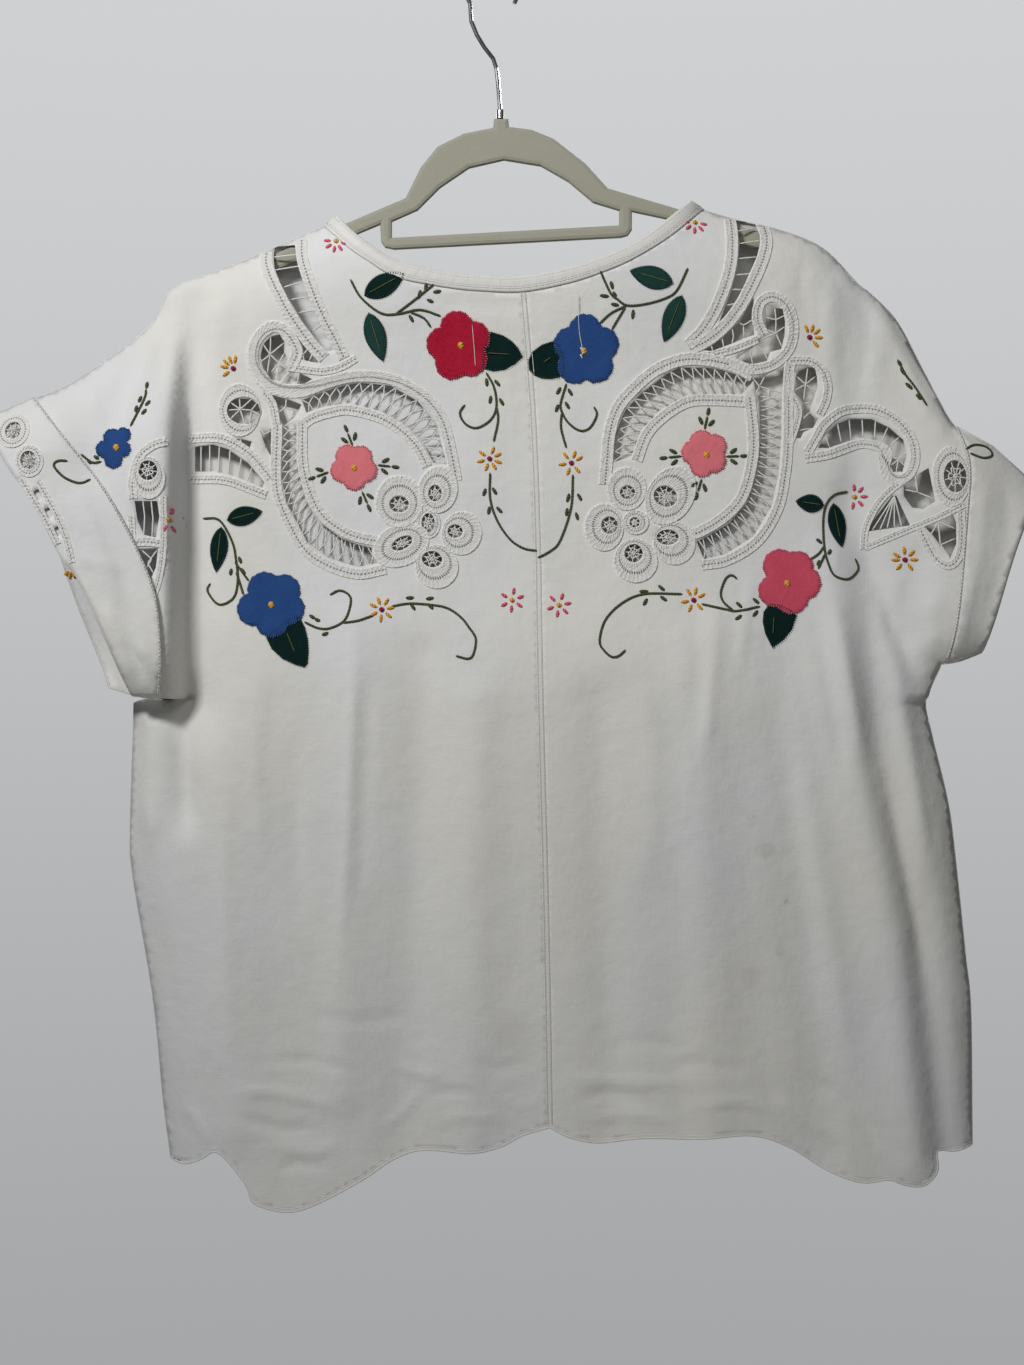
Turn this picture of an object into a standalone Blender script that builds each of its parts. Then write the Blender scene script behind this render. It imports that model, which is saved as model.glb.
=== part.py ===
"""A short-sleeved white cotton blouse of traditional tape lace and applique, on a slim hanger.

Metres, +Z up. The front faces -Y and the view's right is +X. The origin is where a rail would
carry the hook, at the inside top of its bend. Outlines are tables of points of the front view,
across and down in its own steps of STEP metres, and place() turns them into metres.
"""

import math
from collections import namedtuple

import bmesh
import bpy
from mathutils import Vector
from mathutils.geometry import delaunay_2d_cdt

STEP = 0.0007
HOOK_ACROSS = 492
HOOK_DOWN = -38

CLOTH = 0.0012
BINDING = 0.0018
APPLIQUE = 0.0008
SEAM_GAP = 0.0003
SEAM_SETBACK = 0.0010
BODY_DEPTH = 0.020
EDGE_ROUND = 0.020
FOLD_EDGE = 0.015
CUFF_STAND = 0.0019
CUFF_FLARE = 0.0025
CUFF_SETTLE = 0.020
SLEEVE_SWING = 0.028
RIGHT_SWING = 0.010

FRONT_GRID = 0.024
BACK_GRID = 0.034
EDGE_STEP = 0.018
SEAM_STEP = 0.030
RIM_ROW = 0.006

HANGER_THICK = 0.0060
HANGER_ROUND = 0.0026
WIRE = 0.0030
HOOK_RADIUS = 0.0178
FERRULE_RADIUS = 0.0026
FERRULE_HEIGHT = 0.0060

Fold = namedtuple("Fold", "line width height")
Gap = namedtuple("Gap", "across down width height")
Ladder = namedtuple("Ladder", "outer inner count")
Loop = namedtuple("Loop", "across down radius turn")
Flower = namedtuple("Flower", "name panel across down radius turn colour")
Leaf = namedtuple("Leaf", "name panel base tip width colour")
TuckedLeaf = namedtuple("TuckedLeaf", "name panel outline colour")

WHITE = (0.86, 0.85, 0.81)
RED = (0.42, 0.02, 0.05)
ROSE = (0.45, 0.04, 0.10)
PINK = (0.66, 0.18, 0.24)
BLUE = (0.03, 0.09, 0.33)
DARK_GREEN = (0.004, 0.05, 0.045)
GREY_GREEN = (0.02, 0.09, 0.085)
SAGE = (0.36, 0.35, 0.27)
STEEL = (0.62, 0.62, 0.61)

# Edges of the front view, each from top to bottom or from left to right
NECK = [(324, 222), (348, 246), (370, 262), (398, 278), (448, 288), (485, 291.5), (523, 292)]
NECK += [(567, 284), (602, 273), (634, 259), (670, 236), (704, 205.5)]
NECK_EDGE = [(337, 215), (351, 230), (370, 246), (398, 263), (448, 274.5), (485, 278), (523, 278)]
NECK_EDGE += [(567, 270), (600, 260), (634, 245), (665, 222), (690.5, 200)]
SEAM = [(523, 292), (533, 414), (538, 548), (540, 681), (546, 918), (549.7, 1124)]

LEFT_TOP = [(-8, 421), (36, 401), (60, 391), (100, 364), (150, 320), (165, 291), (185, 278)]
LEFT_TOP += [(240, 258), (300, 232), (322.5, 222.7)]
LEFT_SIDE = [(131, 703), (127, 830), (130, 880), (150, 1000), (160, 1100), (168, 1161)]
LEFT_HEM = [(168, 1161), (184, 1164), (203, 1157), (216, 1149), (230, 1159), (249, 1184)]
LEFT_HEM += [(253, 1197), (268, 1205), (295, 1208), (325, 1197), (364, 1176), (394, 1157)]
LEFT_HEM += [(425, 1147), (471, 1149), (500, 1143.6), (523, 1132), (549.7, 1124)]
LEFT_UNDERARM = [(138, 696), (160, 698), (188, 698.5)]
LEFT_SLIT = [(131, 703), (160, 702), (188, 701.5)]
LEFT_RIM = [(-8, 421), (20, 470), (45, 505), (73, 560), (90, 582), (112, 630), (138, 696)]
LEFT_BACK_RIM = [(-8, 421), (22, 474), (48, 518), (68, 576), (86, 625), (114, 688)]
LEFT_BACK_UNDERARM = [(114, 688), (150, 698), (188, 698.5)]
LEFT_CUFF_EDGE = [(34, 390), (60.5, 426), (84, 455), (117, 499), (147, 554), (165, 602)]
LEFT_CUFF_EDGE += [(169.5, 660), (164, 700)]

RIGHT_TOP = [(705.5, 206.2), (734, 215), (777, 225), (811, 237), (834, 252), (861, 281)]
RIGHT_TOP += [(875, 292), (901, 320), (926, 370), (939, 398), (957, 428), (992, 446), (1032, 482)]
RIGHT_SIDE = [(942, 664), (929, 700), (936, 738), (951.5, 803), (959, 860), (969, 956)]
RIGHT_SIDE += [(974.5, 1013), (976, 1147.5)]
RIGHT_HEM = [(549.7, 1124), (569, 1134), (599.5, 1140), (642, 1135), (691, 1135), (749, 1132)]
RIGHT_HEM += [(787, 1143.6), (825, 1167), (860, 1179), (886.5, 1176), (902, 1181), (921, 1182)]
RIGHT_HEM += [(936, 1168.5), (937, 1150.5), (955, 1152), (976, 1147.5)]
RIGHT_UNDERARM = [(942, 664), (960, 661), (981, 653)]
RIGHT_RIM = [(1032, 482), (1024, 513), (1004, 568), (981, 653)]
RIGHT_CUFF_EDGE = [(954, 415), (964, 455), (965, 480), (962.6, 505), (952.7, 613), (944, 675)]
BACK_HEM = [(168, 1161), (200, 1152), (240, 1156), (290, 1150), (340, 1154), (390, 1142)]
BACK_HEM += [(440, 1138), (490, 1124), (546, 1112), (600, 1122), (650, 1116), (700, 1124)]
BACK_HEM += [(750, 1120), (800, 1136), (850, 1138), (900, 1152), (940, 1146), (976, 1147.5)]

# Lines that the cloth's points keep to, beside the left sleeve and over the right one
LEFT_STEP_LINES = [[(173, 345), (173, 500), (173, 690)], [(187, 345), (188, 500), (190, 690)]]
RIGHT_RIDGE = [(848, 276), (878, 306), (896, 335), (913, 376), (928, 410), (943, 428), (958, 452)]

FRONT_FOLDS = [
    Fold([(196, 300), (198, 520), (208, 760)], 0.012, -0.009),
    Fold([(232, 700), (232, 900), (236, 1120)], 0.022, 0.004),
    Fold([(168, 300), (120, 430), (70, 520)], 0.020, -0.006),
    Fold([(357, 620), (350, 820), (342, 1090)], 0.014, 0.003),
    Fold([(421, 660), (415, 880), (400, 1150)], 0.018, -0.004),
    Fold([(478, 700), (476, 900), (470, 1140)], 0.016, 0.003),
    Fold([(600, 700), (604, 900), (610, 1130)], 0.016, -0.003),
    Fold([(700, 640), (702, 860), (712, 1130)], 0.020, 0.004),
    Fold([(780, 640), (800, 860), (820, 1150)], 0.018, -0.003),
    Fold([(835, 560), (858, 760), (893, 930), (914, 1160)], 0.018, 0.006),
    Fold([(849, 500), (880, 760), (918, 930), (945, 1150)], 0.013, -0.007),
    Fold([(868, 300), (858, 420), (856, 520), (890, 620), (930, 700)], 0.012, -0.006),
    Fold(RIGHT_RIDGE, 0.006, 0.006),
    Fold([(918, 560), (908, 610), (925, 650)], 0.012, -0.004),
]
BACK_FOLDS = [
    Fold([(250, 420), (256, 760), (262, 1130)], 0.020, 0.005),
    Fold([(330, 520), (326, 800), (318, 1130)], 0.018, -0.005),
    Fold([(420, 420), (428, 760), (436, 1120)], 0.022, 0.004),
    Fold([(520, 560), (516, 800), (508, 1100)], 0.018, -0.004),
    Fold([(640, 460), (636, 760), (648, 1100)], 0.022, 0.005),
    Fold([(730, 560), (742, 800), (750, 1110)], 0.018, -0.005),
    Fold([(830, 420), (850, 760), (868, 1130)], 0.020, 0.005),
]

# Gaps between the bars of the lace bands, and in its wheels and loops
LEFT_LADDERS = [
    Ladder(
        [(300, 400), (329, 388), (358, 382), (390, 385), (417, 400), (436, 423), (447, 464)],
        [(311, 411), (330, 405), (349, 402.5), (381.5, 411), (406, 424.5), (424, 444), (433, 462)],
        15,
    ),
    Ladder(
        [(282.5, 426), (281, 477), (286, 502), (307, 542), (329, 558), (358, 567), (381, 562)],
        [(296, 424), (296, 463), (305, 499), (318, 521), (340, 537.5), (356, 544), (374, 548)],
        17,
    ),
    Ladder(
        [(272, 256), (278, 270), (285, 287), (300, 316), (321, 343), (327, 351)],
        [(294, 256), (299, 271), (304, 289), (311, 306), (328, 339), (333, 349)],
        7,
    ),
    Ladder(
        [(195, 443), (212, 443), (228, 449), (248, 463), (264, 482)],
        [(195, 471), (212, 471), (228, 473), (248, 481), (262, 488)],
        6,
    ),
]
RIGHT_LADDERS = [
    Ladder(
        [(752, 380), (729, 372), (704, 368), (679.5, 366.5), (658, 378), (635, 398), (614, 460)],
        [(752, 395), (730, 394), (713, 393), (686, 395), (660, 410), (641, 429.5), (633, 452)],
        15,
    ),
    Ladder(
        [(782, 406), (781.5, 439.5), (779, 473), (772, 506), (754, 536), (726, 554), (704, 559)],
        [(761, 406), (761, 439.5), (757, 473), (747.5, 502.5), (729, 524), (706, 537), (697, 541)],
        17,
    ),
    Ladder(
        [(757, 224), (756, 245), (750, 272), (741, 297), (727, 320)],
        [(739, 220), (738, 245), (731, 268), (724, 290), (718, 310)],
        6,
    ),
    Ladder(
        [(826, 436), (844, 420), (863, 417.5), (882, 423), (900, 436)],
        [(833, 450), (850, 440), (864, 438.5), (876, 440), (886, 447)],
        6,
    ),
]
LEFT_WEBS = [
    Gap(275, 340, 8, 9),
    Gap(265, 347, 7, 8),
    Gap(263, 360, 7, 8),
    Gap(277, 352, 8, 8),
    Gap(273, 366, 8, 7),
    Gap(290, 374, 13, 7),
    Gap(299, 340, 8, 9),
    Gap(305, 354, 9, 8),
    Gap(233, 403, 8, 9),
    Gap(247, 401, 9, 9),
    Gap(258, 408, 7, 8),
    Gap(232, 418, 7, 8),
    Gap(244, 416, 8, 9),
    Gap(234, 437, 8, 8),
    Gap(248, 440, 9, 13),
    Gap(266, 446, 10, 14),
    Gap(277, 396, 14, 12),
    Gap(150, 466, 9, 9),
    Gap(162, 474, 8, 10),
    Gap(152, 483, 8, 8),
    Gap(146, 518, 8, 26),
    Gap(158, 520, 8, 30),
    Gap(158, 562, 12, 10),
]
RIGHT_WEBS = [
    Gap(770, 311, 9, 9),
    Gap(783, 314, 8, 9),
    Gap(767, 326, 8, 8),
    Gap(784, 330, 9, 9),
    Gap(771, 342, 9, 9),
    Gap(734, 335, 11, 9),
    Gap(718, 342, 10, 8),
    Gap(750, 346, 10, 9),
    Gap(806, 387, 9, 9),
    Gap(820, 390, 8, 9),
    Gap(803, 402, 8, 9),
    Gap(820, 405, 9, 9),
    Gap(808, 418, 9, 9),
    Gap(797, 436, 9, 9),
    Gap(806, 452, 9, 11),
    Gap(891, 463, 8, 8),
    Gap(902, 468, 8, 8),
    Gap(907, 487, 12, 12),
    Gap(925, 490, 12, 22),
    Gap(937, 522, 22, 11),
    Gap(892, 512, 8, 13),
    Gap(880, 522, 7, 9),
    Gap(946, 462, 8, 9),
    Gap(957, 468, 7, 9),
    Gap(946, 480, 8, 9),
    Gap(956, 489, 7, 9),
]
CUFF_WEBS = [
    Gap(17, 430, 7, 8),
    Gap(27, 434, 7, 8),
    Gap(20, 443, 7, 7),
    Gap(36, 459, 7, 8),
    Gap(46, 464, 7, 8),
    Gap(40, 472, 7, 7),
    Gap(50, 498, 8, 8),
    Gap(58, 513, 8, 9),
    Gap(67, 530, 7, 9),
    Gap(74, 546, 7, 8),
]
LEFT_LOOPS = [
    Loop(399, 501, 22, 0.2),
    Loop(437, 489, 19, 0.5),
    Loop(402, 540, 20, 0.9),
    Loop(461, 532, 18, 0.1),
    Loop(436, 564, 19, 0.6),
]
RIGHT_LOOPS = [
    Loop(628, 486, 17, 0.3),
    Loop(672, 494, 21, 0.8),
    Loop(602, 528, 17, 0.0),
    Loop(674.5, 539, 19, 0.5),
    Loop(633, 560.5, 19, 0.2),
]
LOOP_GAPS = 3
LOOP_GAP_WIDTH = 8
LOOP_GAP_REACH = 0.42
BAR_SHARE = 0.22

FLOWERS = [
    Flower("flower_red", "front_left", 460, 345, 31, 0.3, RED),
    Flower("flower_pink_left", "front_left", 353, 467, 22, 0.5, PINK),
    Flower("flower_blue_lower", "front_left", 271, 604.5, 32, 0.1, BLUE),
    Flower("flower_blue_sleeve", "front_left", 122, 450, 16, 0.4, BLUE),
    Flower("flower_blue_upper", "front_right", 583, 350.5, 31, 0.2, BLUE),
    Flower("flower_pink_right", "front_right", 706, 454, 22, 0.6, PINK),
    Flower("flower_rose_lower", "front_right", 786, 583, 31, 0.0, ROSE),
]
LEAVES = [
    Leaf("leaf_neck_left", "front_left", (366, 297), (404, 276), 21, GREY_GREEN),
    Leaf("leaf_hanging_left", "front_left", (369, 316), (382, 360), 21, DARK_GREEN),
    Leaf("leaf_side_left", "front_left", (228, 520), (262, 511), 19, DARK_GREEN),
    Leaf("leaf_low_left", "front_left", (221, 527), (216, 572), 18, DARK_GREEN),
    Leaf("leaf_blue_foot", "front_left", (281, 638), (309, 668), 25, DARK_GREEN),
    Leaf("leaf_neck_right", "front_right", (671, 285), (630, 273), 21, GREY_GREEN),
    Leaf("leaf_hanging_right", "front_right", (681, 298), (664, 341), 20, DARK_GREEN),
    Leaf("leaf_side_right", "front_right", (823, 505), (797, 501), 18, DARK_GREEN),
    Leaf("leaf_low_right", "front_right", (835, 505), (841, 547), 18, DARK_GREEN),
    Leaf("leaf_rose_foot", "front_right", (780, 617), (771, 648), 25, DARK_GREEN),
]
# Leaves that come out from under a flower, each cut round it
RED_SIDE = [(490.5, 332), (502.7, 335.6), (511.8, 341.3), (522.8, 356.8), (515, 364)]
RED_SIDE += [(505, 369.5), (493.5, 371), (484, 369.8), (490, 358.5), (492.8, 346)]
BLUE_SIDE = [(553, 341.2), (541.7, 344.8), (532, 352), (528, 359.7), (528.5, 369)]
BLUE_SIDE += [(534.8, 375.2), (551, 378.6), (559.5, 377), (553, 366), (550.5, 352)]
TUCKED_LEAVES = [
    TuckedLeaf("leaf_red_side", "front_left", RED_SIDE, DARK_GREEN),
    TuckedLeaf("leaf_blue_side", "front_right", BLUE_SIDE, DARK_GREEN),
]
PETALS = 5
PETAL_POINTS = 4
PETAL_DIP = 0.17

# The hanger, read from left to right along its top edge and then back along its foot
HANGER_TOP = [(404.6, 194), (420, 163), (437, 142), (463, 129), (493, 123), (494, 114)]
HANGER_TOP += [(508, 114), (509, 122), (532, 125), (554, 134), (586, 159), (608.6, 184)]
HANGER_FOOT = [(672, 216.4), (633, 208), (633, 226), (629, 232), (622, 234), (393, 246)]
HANGER_FOOT += [(384, 244), (380, 238), (379, 221), (355, 231)]
HANGER_EYE = [(417, 206.5), (439.5, 184), (469, 164), (504, 156), (541, 162), (569, 178)]
HANGER_EYE += [(594, 199), (620, 207), (620, 221.4), (391, 234), (391, 218)]
LEFT_ARM_END = 190
RIGHT_ARM_END = 830
ARM_DROP = 0.0044
ARM_HEIGHT = 0.0125
HOOK_STEM = [(500, 104), (498, 78), (496.3, 63), (493, 53), (484, 41.5), (476.4, 29), (471, 15.5)]
HOOK_CENTRE = (492, -14.6)
HOOK_START = 2.2
HOOK_SWEEP = 4.35
HOOK_PARTS = 22


def place(across, down):
    """A point of the front view in metres, right of the hook's inside top and above it."""
    return Vector(((across - HOOK_ACROSS) * STEP, (HOOK_DOWN - down) * STEP))


def line_through(table, step):
    """A smooth line through a table's points, cut into parts of about one step."""
    points = [place(*row) for row in table]
    ends = [2 * points[0] - points[1]] + points + [2 * points[-1] - points[-2]]
    line = []
    for before, start, end, after in zip(ends, ends[1:], ends[2:], ends[3:]):
        parts = max(1, round((end - start).length / step))
        for part in range(parts):
            t = part / parts
            straight = 2 * start + (end - before) * t
            bend = (2 * before - 5 * start + 4 * end - after) * t**2
            turn = (3 * start - before - 3 * end + after) * t**3
            line.append((straight + bend + turn) / 2)
    return line + [points[-1]]


def distance_to(line, point):
    """How far the point lies from the nearest stretch of the line."""
    nearest = 1.0
    for start, end in zip(line, line[1:]):
        stretch = end - start
        share = (point - start).dot(stretch) / max(stretch.length_squared, 1e-12)
        foot = start + stretch * min(max(share, 0.0), 1.0)
        nearest = min(nearest, (point - foot).length)
    return nearest


def ease(value):
    """A smooth step from 0 to 1."""
    value = min(max(value, 0.0), 1.0)
    return value * value * (3 - 2 * value)


CLOSED_EDGES = [
    line_through(table, EDGE_STEP)
    for table in (
        LEFT_TOP,
        LEFT_SIDE,
        LEFT_UNDERARM,
        LEFT_BACK_UNDERARM,
        LEFT_SLIT,
        RIGHT_TOP,
        RIGHT_SIDE,
        RIGHT_UNDERARM,
    )
]
FOLD_LINES = {
    kind: [[place(*row) for row in fold.line] for fold in folds]
    for kind, folds in (("front", FRONT_FOLDS), ("back", BACK_FOLDS))
}


def swing(point):
    """How far forward the sleeves hang, at a point of the front view."""
    across = point.x / STEP + HOOK_ACROSS
    down = HOOK_DOWN - point.y / STEP
    if down > 700:
        return 0.0
    left = SLEEVE_SWING * ease((188 - across) / 15) * ease((down - 310) / 150)
    right = RIGHT_SWING * ease((across - 880) / 80) * ease((down - 300) / 120)
    return left + right


def depth(kind, point):
    """Y of the cloth's middle at a point of the front view. kind is front or back."""
    near = min(distance_to(edge, point) for edge in CLOSED_EDGES)
    bulge = SEAM_SETBACK + BODY_DEPTH * (1 - math.exp(-near / EDGE_ROUND))
    folds = FRONT_FOLDS if kind == "front" else BACK_FOLDS
    for fold, line in zip(folds, FOLD_LINES[kind]):
        away = distance_to(line, point) / fold.width
        bulge += fold.height * math.exp(-away * away) * (1 - math.exp(-near / FOLD_EDGE))
    return -swing(point) + (-bulge if kind == "front" else bulge)


def inside(loop, point):
    """Whether a closed loop goes round the point."""
    within = False
    for start, end in zip(loop, loop[1:] + loop[:1]):
        if (start.y > point.y) != (end.y > point.y):
            crossing = start.x + (point.y - start.y) * (end.x - start.x) / (end.y - start.y)
            within ^= point.x < crossing
    return within


def spread(line, count):
    """Points at equal steps along a line, one more than count."""
    lengths = [(end - start).length for start, end in zip(line, line[1:])]
    stations = []
    for number in range(count + 1):
        left = sum(lengths) * number / count
        index = 0
        while index < len(lengths) - 1 and left > lengths[index]:
            left -= lengths[index]
            index += 1
        stations.append(line[index].lerp(line[index + 1], left / lengths[index]))
    return stations


def ladder_gaps(ladder):
    """The gaps between a band's bars, which share BAR_SHARE of its length."""
    outer = spread([place(*row) for row in ladder.outer], ladder.count)
    inner = spread([place(*row) for row in ladder.inner], ladder.count)
    half = BAR_SHARE / 2
    gaps = []
    for number in range(ladder.count):
        near = [line[number].lerp(line[number + 1], half) for line in (outer, inner)]
        far = [line[number].lerp(line[number + 1], 1 - half) for line in (outer, inner)]
        gaps.append([near[0], far[0], far[1], near[1]])
    return gaps


def web_gap(gap):
    """A six-sided gap in a wheel of the lace."""
    corners = [math.tau * (number + 0.5) / 6 for number in range(6)]
    wide = gap.width / 2
    high = gap.height / 2
    return [
        place(gap.across + wide * math.cos(turn), gap.down + high * math.sin(turn))
        for turn in corners
    ]


def loop_gaps(loop):
    """The gaps inside one loop of the tape, round its middle."""
    reach = loop.radius * LOOP_GAP_REACH
    gaps = []
    for number in range(LOOP_GAPS):
        turn = loop.turn + math.tau * number / LOOP_GAPS
        across = loop.across + reach * math.cos(turn)
        down = loop.down + reach * math.sin(turn)
        gaps.append(web_gap(Gap(across, down, LOOP_GAP_WIDTH, LOOP_GAP_WIDTH)))
    return gaps


def lace_gaps(ladders, webs, loops):
    gaps = [gap for ladder in ladders for gap in ladder_gaps(ladder)]
    gaps += [web_gap(web) for web in webs]
    return gaps + [gap for loop in loops for gap in loop_gaps(loop)]


def flower_outline(flower):
    """Five round petals, each with its dip to the next."""
    outline = []
    for number in range(PETALS * PETAL_POINTS):
        turn = flower.turn + math.tau * number / (PETALS * PETAL_POINTS)
        petal = abs(math.sin(PETALS * (turn - flower.turn) / 2))
        reach = flower.radius * (1 - PETAL_DIP * (1 - petal) ** 2)
        outline.append(
            place(flower.across + reach * math.cos(turn), flower.down + reach * math.sin(turn))
        )
    return outline


def leaf_outline(leaf):
    """A pointed leaf from its base to its tip."""
    base = place(*leaf.base)
    tip = place(*leaf.tip)
    length = tip - base
    side = Vector((-length.y, length.x)).normalized() * leaf.width * STEP / 2
    halves = [(0.22, 0.72), (0.5, 1.0), (0.8, 0.55)]
    out = [base + length * share + side * width for share, width in halves]
    back = [base + length * share - side * width for share, width in reversed(halves)]
    return [base] + out + [tip] + back


def applique_pieces():
    """Each flower and leaf: its name, its panel, its outline and its colour."""
    pieces = [(one.name, one.panel, flower_outline(one), one.colour) for one in FLOWERS]
    pieces += [(one.name, one.panel, leaf_outline(one), one.colour) for one in LEAVES]
    for one in TUCKED_LEAVES:
        pieces.append((one.name, one.panel, [place(*row) for row in one.outline], one.colour))
    return pieces


def inner_row(edges, outline, offset):
    """A row of points beside the closed edges, where the cloth turns over."""
    row = []
    for edge in edges:
        for start, end in zip(edge, edge[1:]):
            side = Vector((start.y - end.y, end.x - start.x)).normalized() * offset
            for point in ((start + end) / 2 + side, (start + end) / 2 - side):
                if inside(outline, point):
                    row.append(point)
    return row


def cut_cloth(outline, gaps, marks, edges, spacing):
    """Points and triangles of a panel in the front view, with its lace gaps left out."""
    loops = [outline] + gaps
    points = [point for loop in loops for point in loop]
    borders = []
    start = 0
    for loop in loops:
        count = len(loop)
        borders += [(start + number, start + (number + 1) % count) for number in range(count)]
        start += count
    for mark in marks:
        count = len(mark)
        borders += [(start + number, start + number + 1) for number in range(count - 1)]
        points += mark
        start += count
    fixed = [loop + loop[:1] for loop in loops] + marks
    for point in inner_row(edges, outline, RIM_ROW):
        if all(distance_to(line, point) > RIM_ROW * 0.8 for line in fixed):
            points.append(point)
    low_x = min(point.x for point in outline)
    high_x = max(point.x for point in outline)
    low_z = min(point.y for point in outline)
    high_z = max(point.y for point in outline)
    placed = list(points)
    rows = math.ceil((high_z - low_z) / (spacing * 0.87))
    columns = math.ceil((high_x - low_x) / spacing)
    for row in range(rows + 1):
        for column in range(columns + 1):
            shift = 0.5 * (row % 2)
            spot = Vector((low_x + (column + shift) * spacing, low_z + row * spacing * 0.87))
            if not inside(outline, spot) or any(inside(gap, spot) for gap in gaps):
                continue
            if min((spot - other).length for other in placed) < spacing * 0.55:
                continue
            if min(distance_to(line, spot) for line in fixed[:1] + marks) < spacing * 0.4:
                continue
            points.append(spot)
    flat, _, faces, _, _, _ = delaunay_2d_cdt(points, borders, [], 0, 1e-6)
    kept = []
    for face in faces:
        middle = sum((flat[index] for index in face), Vector((0, 0))) / 3
        if inside(outline, middle) and not any(inside(gap, middle) for gap in gaps):
            kept.append(face)
    return flat, kept


def material(name, colour, roughness, metallic=0.0):
    made = bpy.data.materials.new(name)
    made.use_nodes = True
    shader = made.node_tree.nodes["Principled BSDF"]
    shader.inputs["Base Color"].default_value = (*colour, 1)
    shader.inputs["Roughness"].default_value = roughness
    shader.inputs["Metallic"].default_value = metallic
    return made


def add_object(name, mesh, finish):
    obj = bpy.data.objects.new(name, mesh)
    obj.data.materials.append(finish)
    blouse.objects.link(obj)
    return obj


def add_shell(name, points, faces, thickness, finish, facing):
    """A sheet of points with a wall added on both sides. facing is the Y of its outer side."""
    mesh = bpy.data.meshes.new(name)
    shape = bmesh.new()
    corners = [shape.verts.new(point) for point in points]
    for face in faces:
        shape.faces.new([corners[index] for index in face])
    bmesh.ops.delete(
        shape, geom=[corner for corner in shape.verts if not corner.link_faces], context="VERTS"
    )
    shape.normal_update()
    turned = sum(face.normal.y * face.calc_area() for face in shape.faces)
    if turned * facing < 0:
        bmesh.ops.reverse_faces(shape, faces=shape.faces)
    shape.to_mesh(mesh)
    shape.free()
    obj = add_object(name, mesh, finish)
    wall = obj.modifiers.new("wall", "SOLIDIFY")
    wall.thickness = thickness
    wall.offset = 0
    return obj


def add_panel(name, kind, flat, faces):
    """A panel of the body with its sleeve, bent to its depth."""
    points = [Vector((point.x, depth(kind, point), point.y)) for point in flat]
    facing = -1 if kind == "front" else 1
    add_shell(name, points, faces, CLOTH, cotton, facing)
    return points


def add_patch(name, panel, outline, gaps, lift, thickness, finish, facing):
    """A piece that lies on a panel: the panel's own points under it, moved out."""
    flat, faces, points = panel
    kept = []
    for face in faces:
        middle = sum((flat[index] for index in face), Vector((0, 0))) / 3
        if inside(outline, middle) and not any(inside(gap, middle) for gap in gaps):
            kept.append(face)
    moved = [
        point + Vector((0, facing * lift(spot), 0)) for spot, point in zip(flat, points)
    ]
    return add_shell(name, moved, kept, thickness, finish, facing)


def add_cuffs(panels):
    """Each cuff is the sleeve's end folded up on it, in a front half and a back half."""
    left_free = line_through(LEFT_CUFF_EDGE, EDGE_STEP)
    right_free = line_through(RIGHT_CUFF_EDGE, EDGE_STEP)
    left_outside = [place(-60, 700), place(-60, 380), place(34, 380)]
    right_outside = [place(1100, 675), place(1100, 400), place(954, 400)]
    webs = [web_gap(web) for web in CUFF_WEBS]
    for side, free_edge, outside, front_gaps in (
        ("left", left_free, left_outside, webs),
        ("right", right_free, right_outside, []),
    ):

        def lift(spot, free_edge=free_edge):
            return CUFF_STAND + CUFF_FLARE * math.exp(-distance_to(free_edge, spot) / CUFF_SETTLE)

        loop = free_edge + outside
        front = panels["front_" + side]
        add_patch(f"cuff_{side}_front", front, loop, front_gaps, lift, CLOTH, cotton, -1)
        add_patch(f"cuff_{side}_back", panels["back"], loop, [], lift, CLOTH, cotton, 1)


def panel_outlines():
    """The closed outlines of the two front halves and of the back."""
    seam = line_through(SEAM, SEAM_STEP)
    half_gap = Vector((SEAM_GAP / 2, 0))
    left_seam = [point - half_gap for point in seam]
    right_seam = [point + half_gap for point in seam]
    neck = line_through(NECK, EDGE_STEP)
    middle = neck.index(place(523, 292))
    below = Vector((0, -SEAM_GAP))
    left_neck = [point + below for point in neck[:middle]]
    right_neck = [point + below for point in neck[middle + 1 :]]
    left_top = line_through(LEFT_TOP, EDGE_STEP)
    right_top = line_through(RIGHT_TOP, EDGE_STEP)
    left_side = line_through(LEFT_SIDE, EDGE_STEP)
    right_side = line_through(RIGHT_SIDE, EDGE_STEP)
    slit = line_through(LEFT_SLIT, EDGE_STEP)
    left_hem = line_through(LEFT_HEM, EDGE_STEP)
    right_hem = line_through(RIGHT_HEM, EDGE_STEP)
    right_foot = line_through(RIGHT_UNDERARM, EDGE_STEP)
    right_rim = line_through(RIGHT_RIM, EDGE_STEP)
    front_left = left_neck[1:] + left_seam + left_hem[-2::-1] + left_side[-2::-1] + slit[1:]
    front_left += line_through(LEFT_UNDERARM, EDGE_STEP)[::-1]
    front_left += line_through(LEFT_RIM, EDGE_STEP)[-2::-1] + left_top[1:]
    right_sleeve = right_foot[1:] + right_rim[-2::-1] + right_top[-2::-1]
    front_right = right_seam + right_hem[1:] + right_side[-2::-1] + right_sleeve
    front_right += right_neck[-2::-1]
    back = [point + below for point in neck[1:-1]] + right_top
    back += right_rim[1:] + right_foot[-2::-1] + right_side[1:]
    back += line_through(BACK_HEM, EDGE_STEP)[-2::-1] + left_side[-2::-1] + slit[1:]
    back += line_through(LEFT_BACK_UNDERARM, EDGE_STEP)[::-1]
    back += line_through(LEFT_BACK_RIM, EDGE_STEP)[-2::-1] + left_top[1:]
    return {"front_left": front_left, "front_right": front_right, "back": back}


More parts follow.
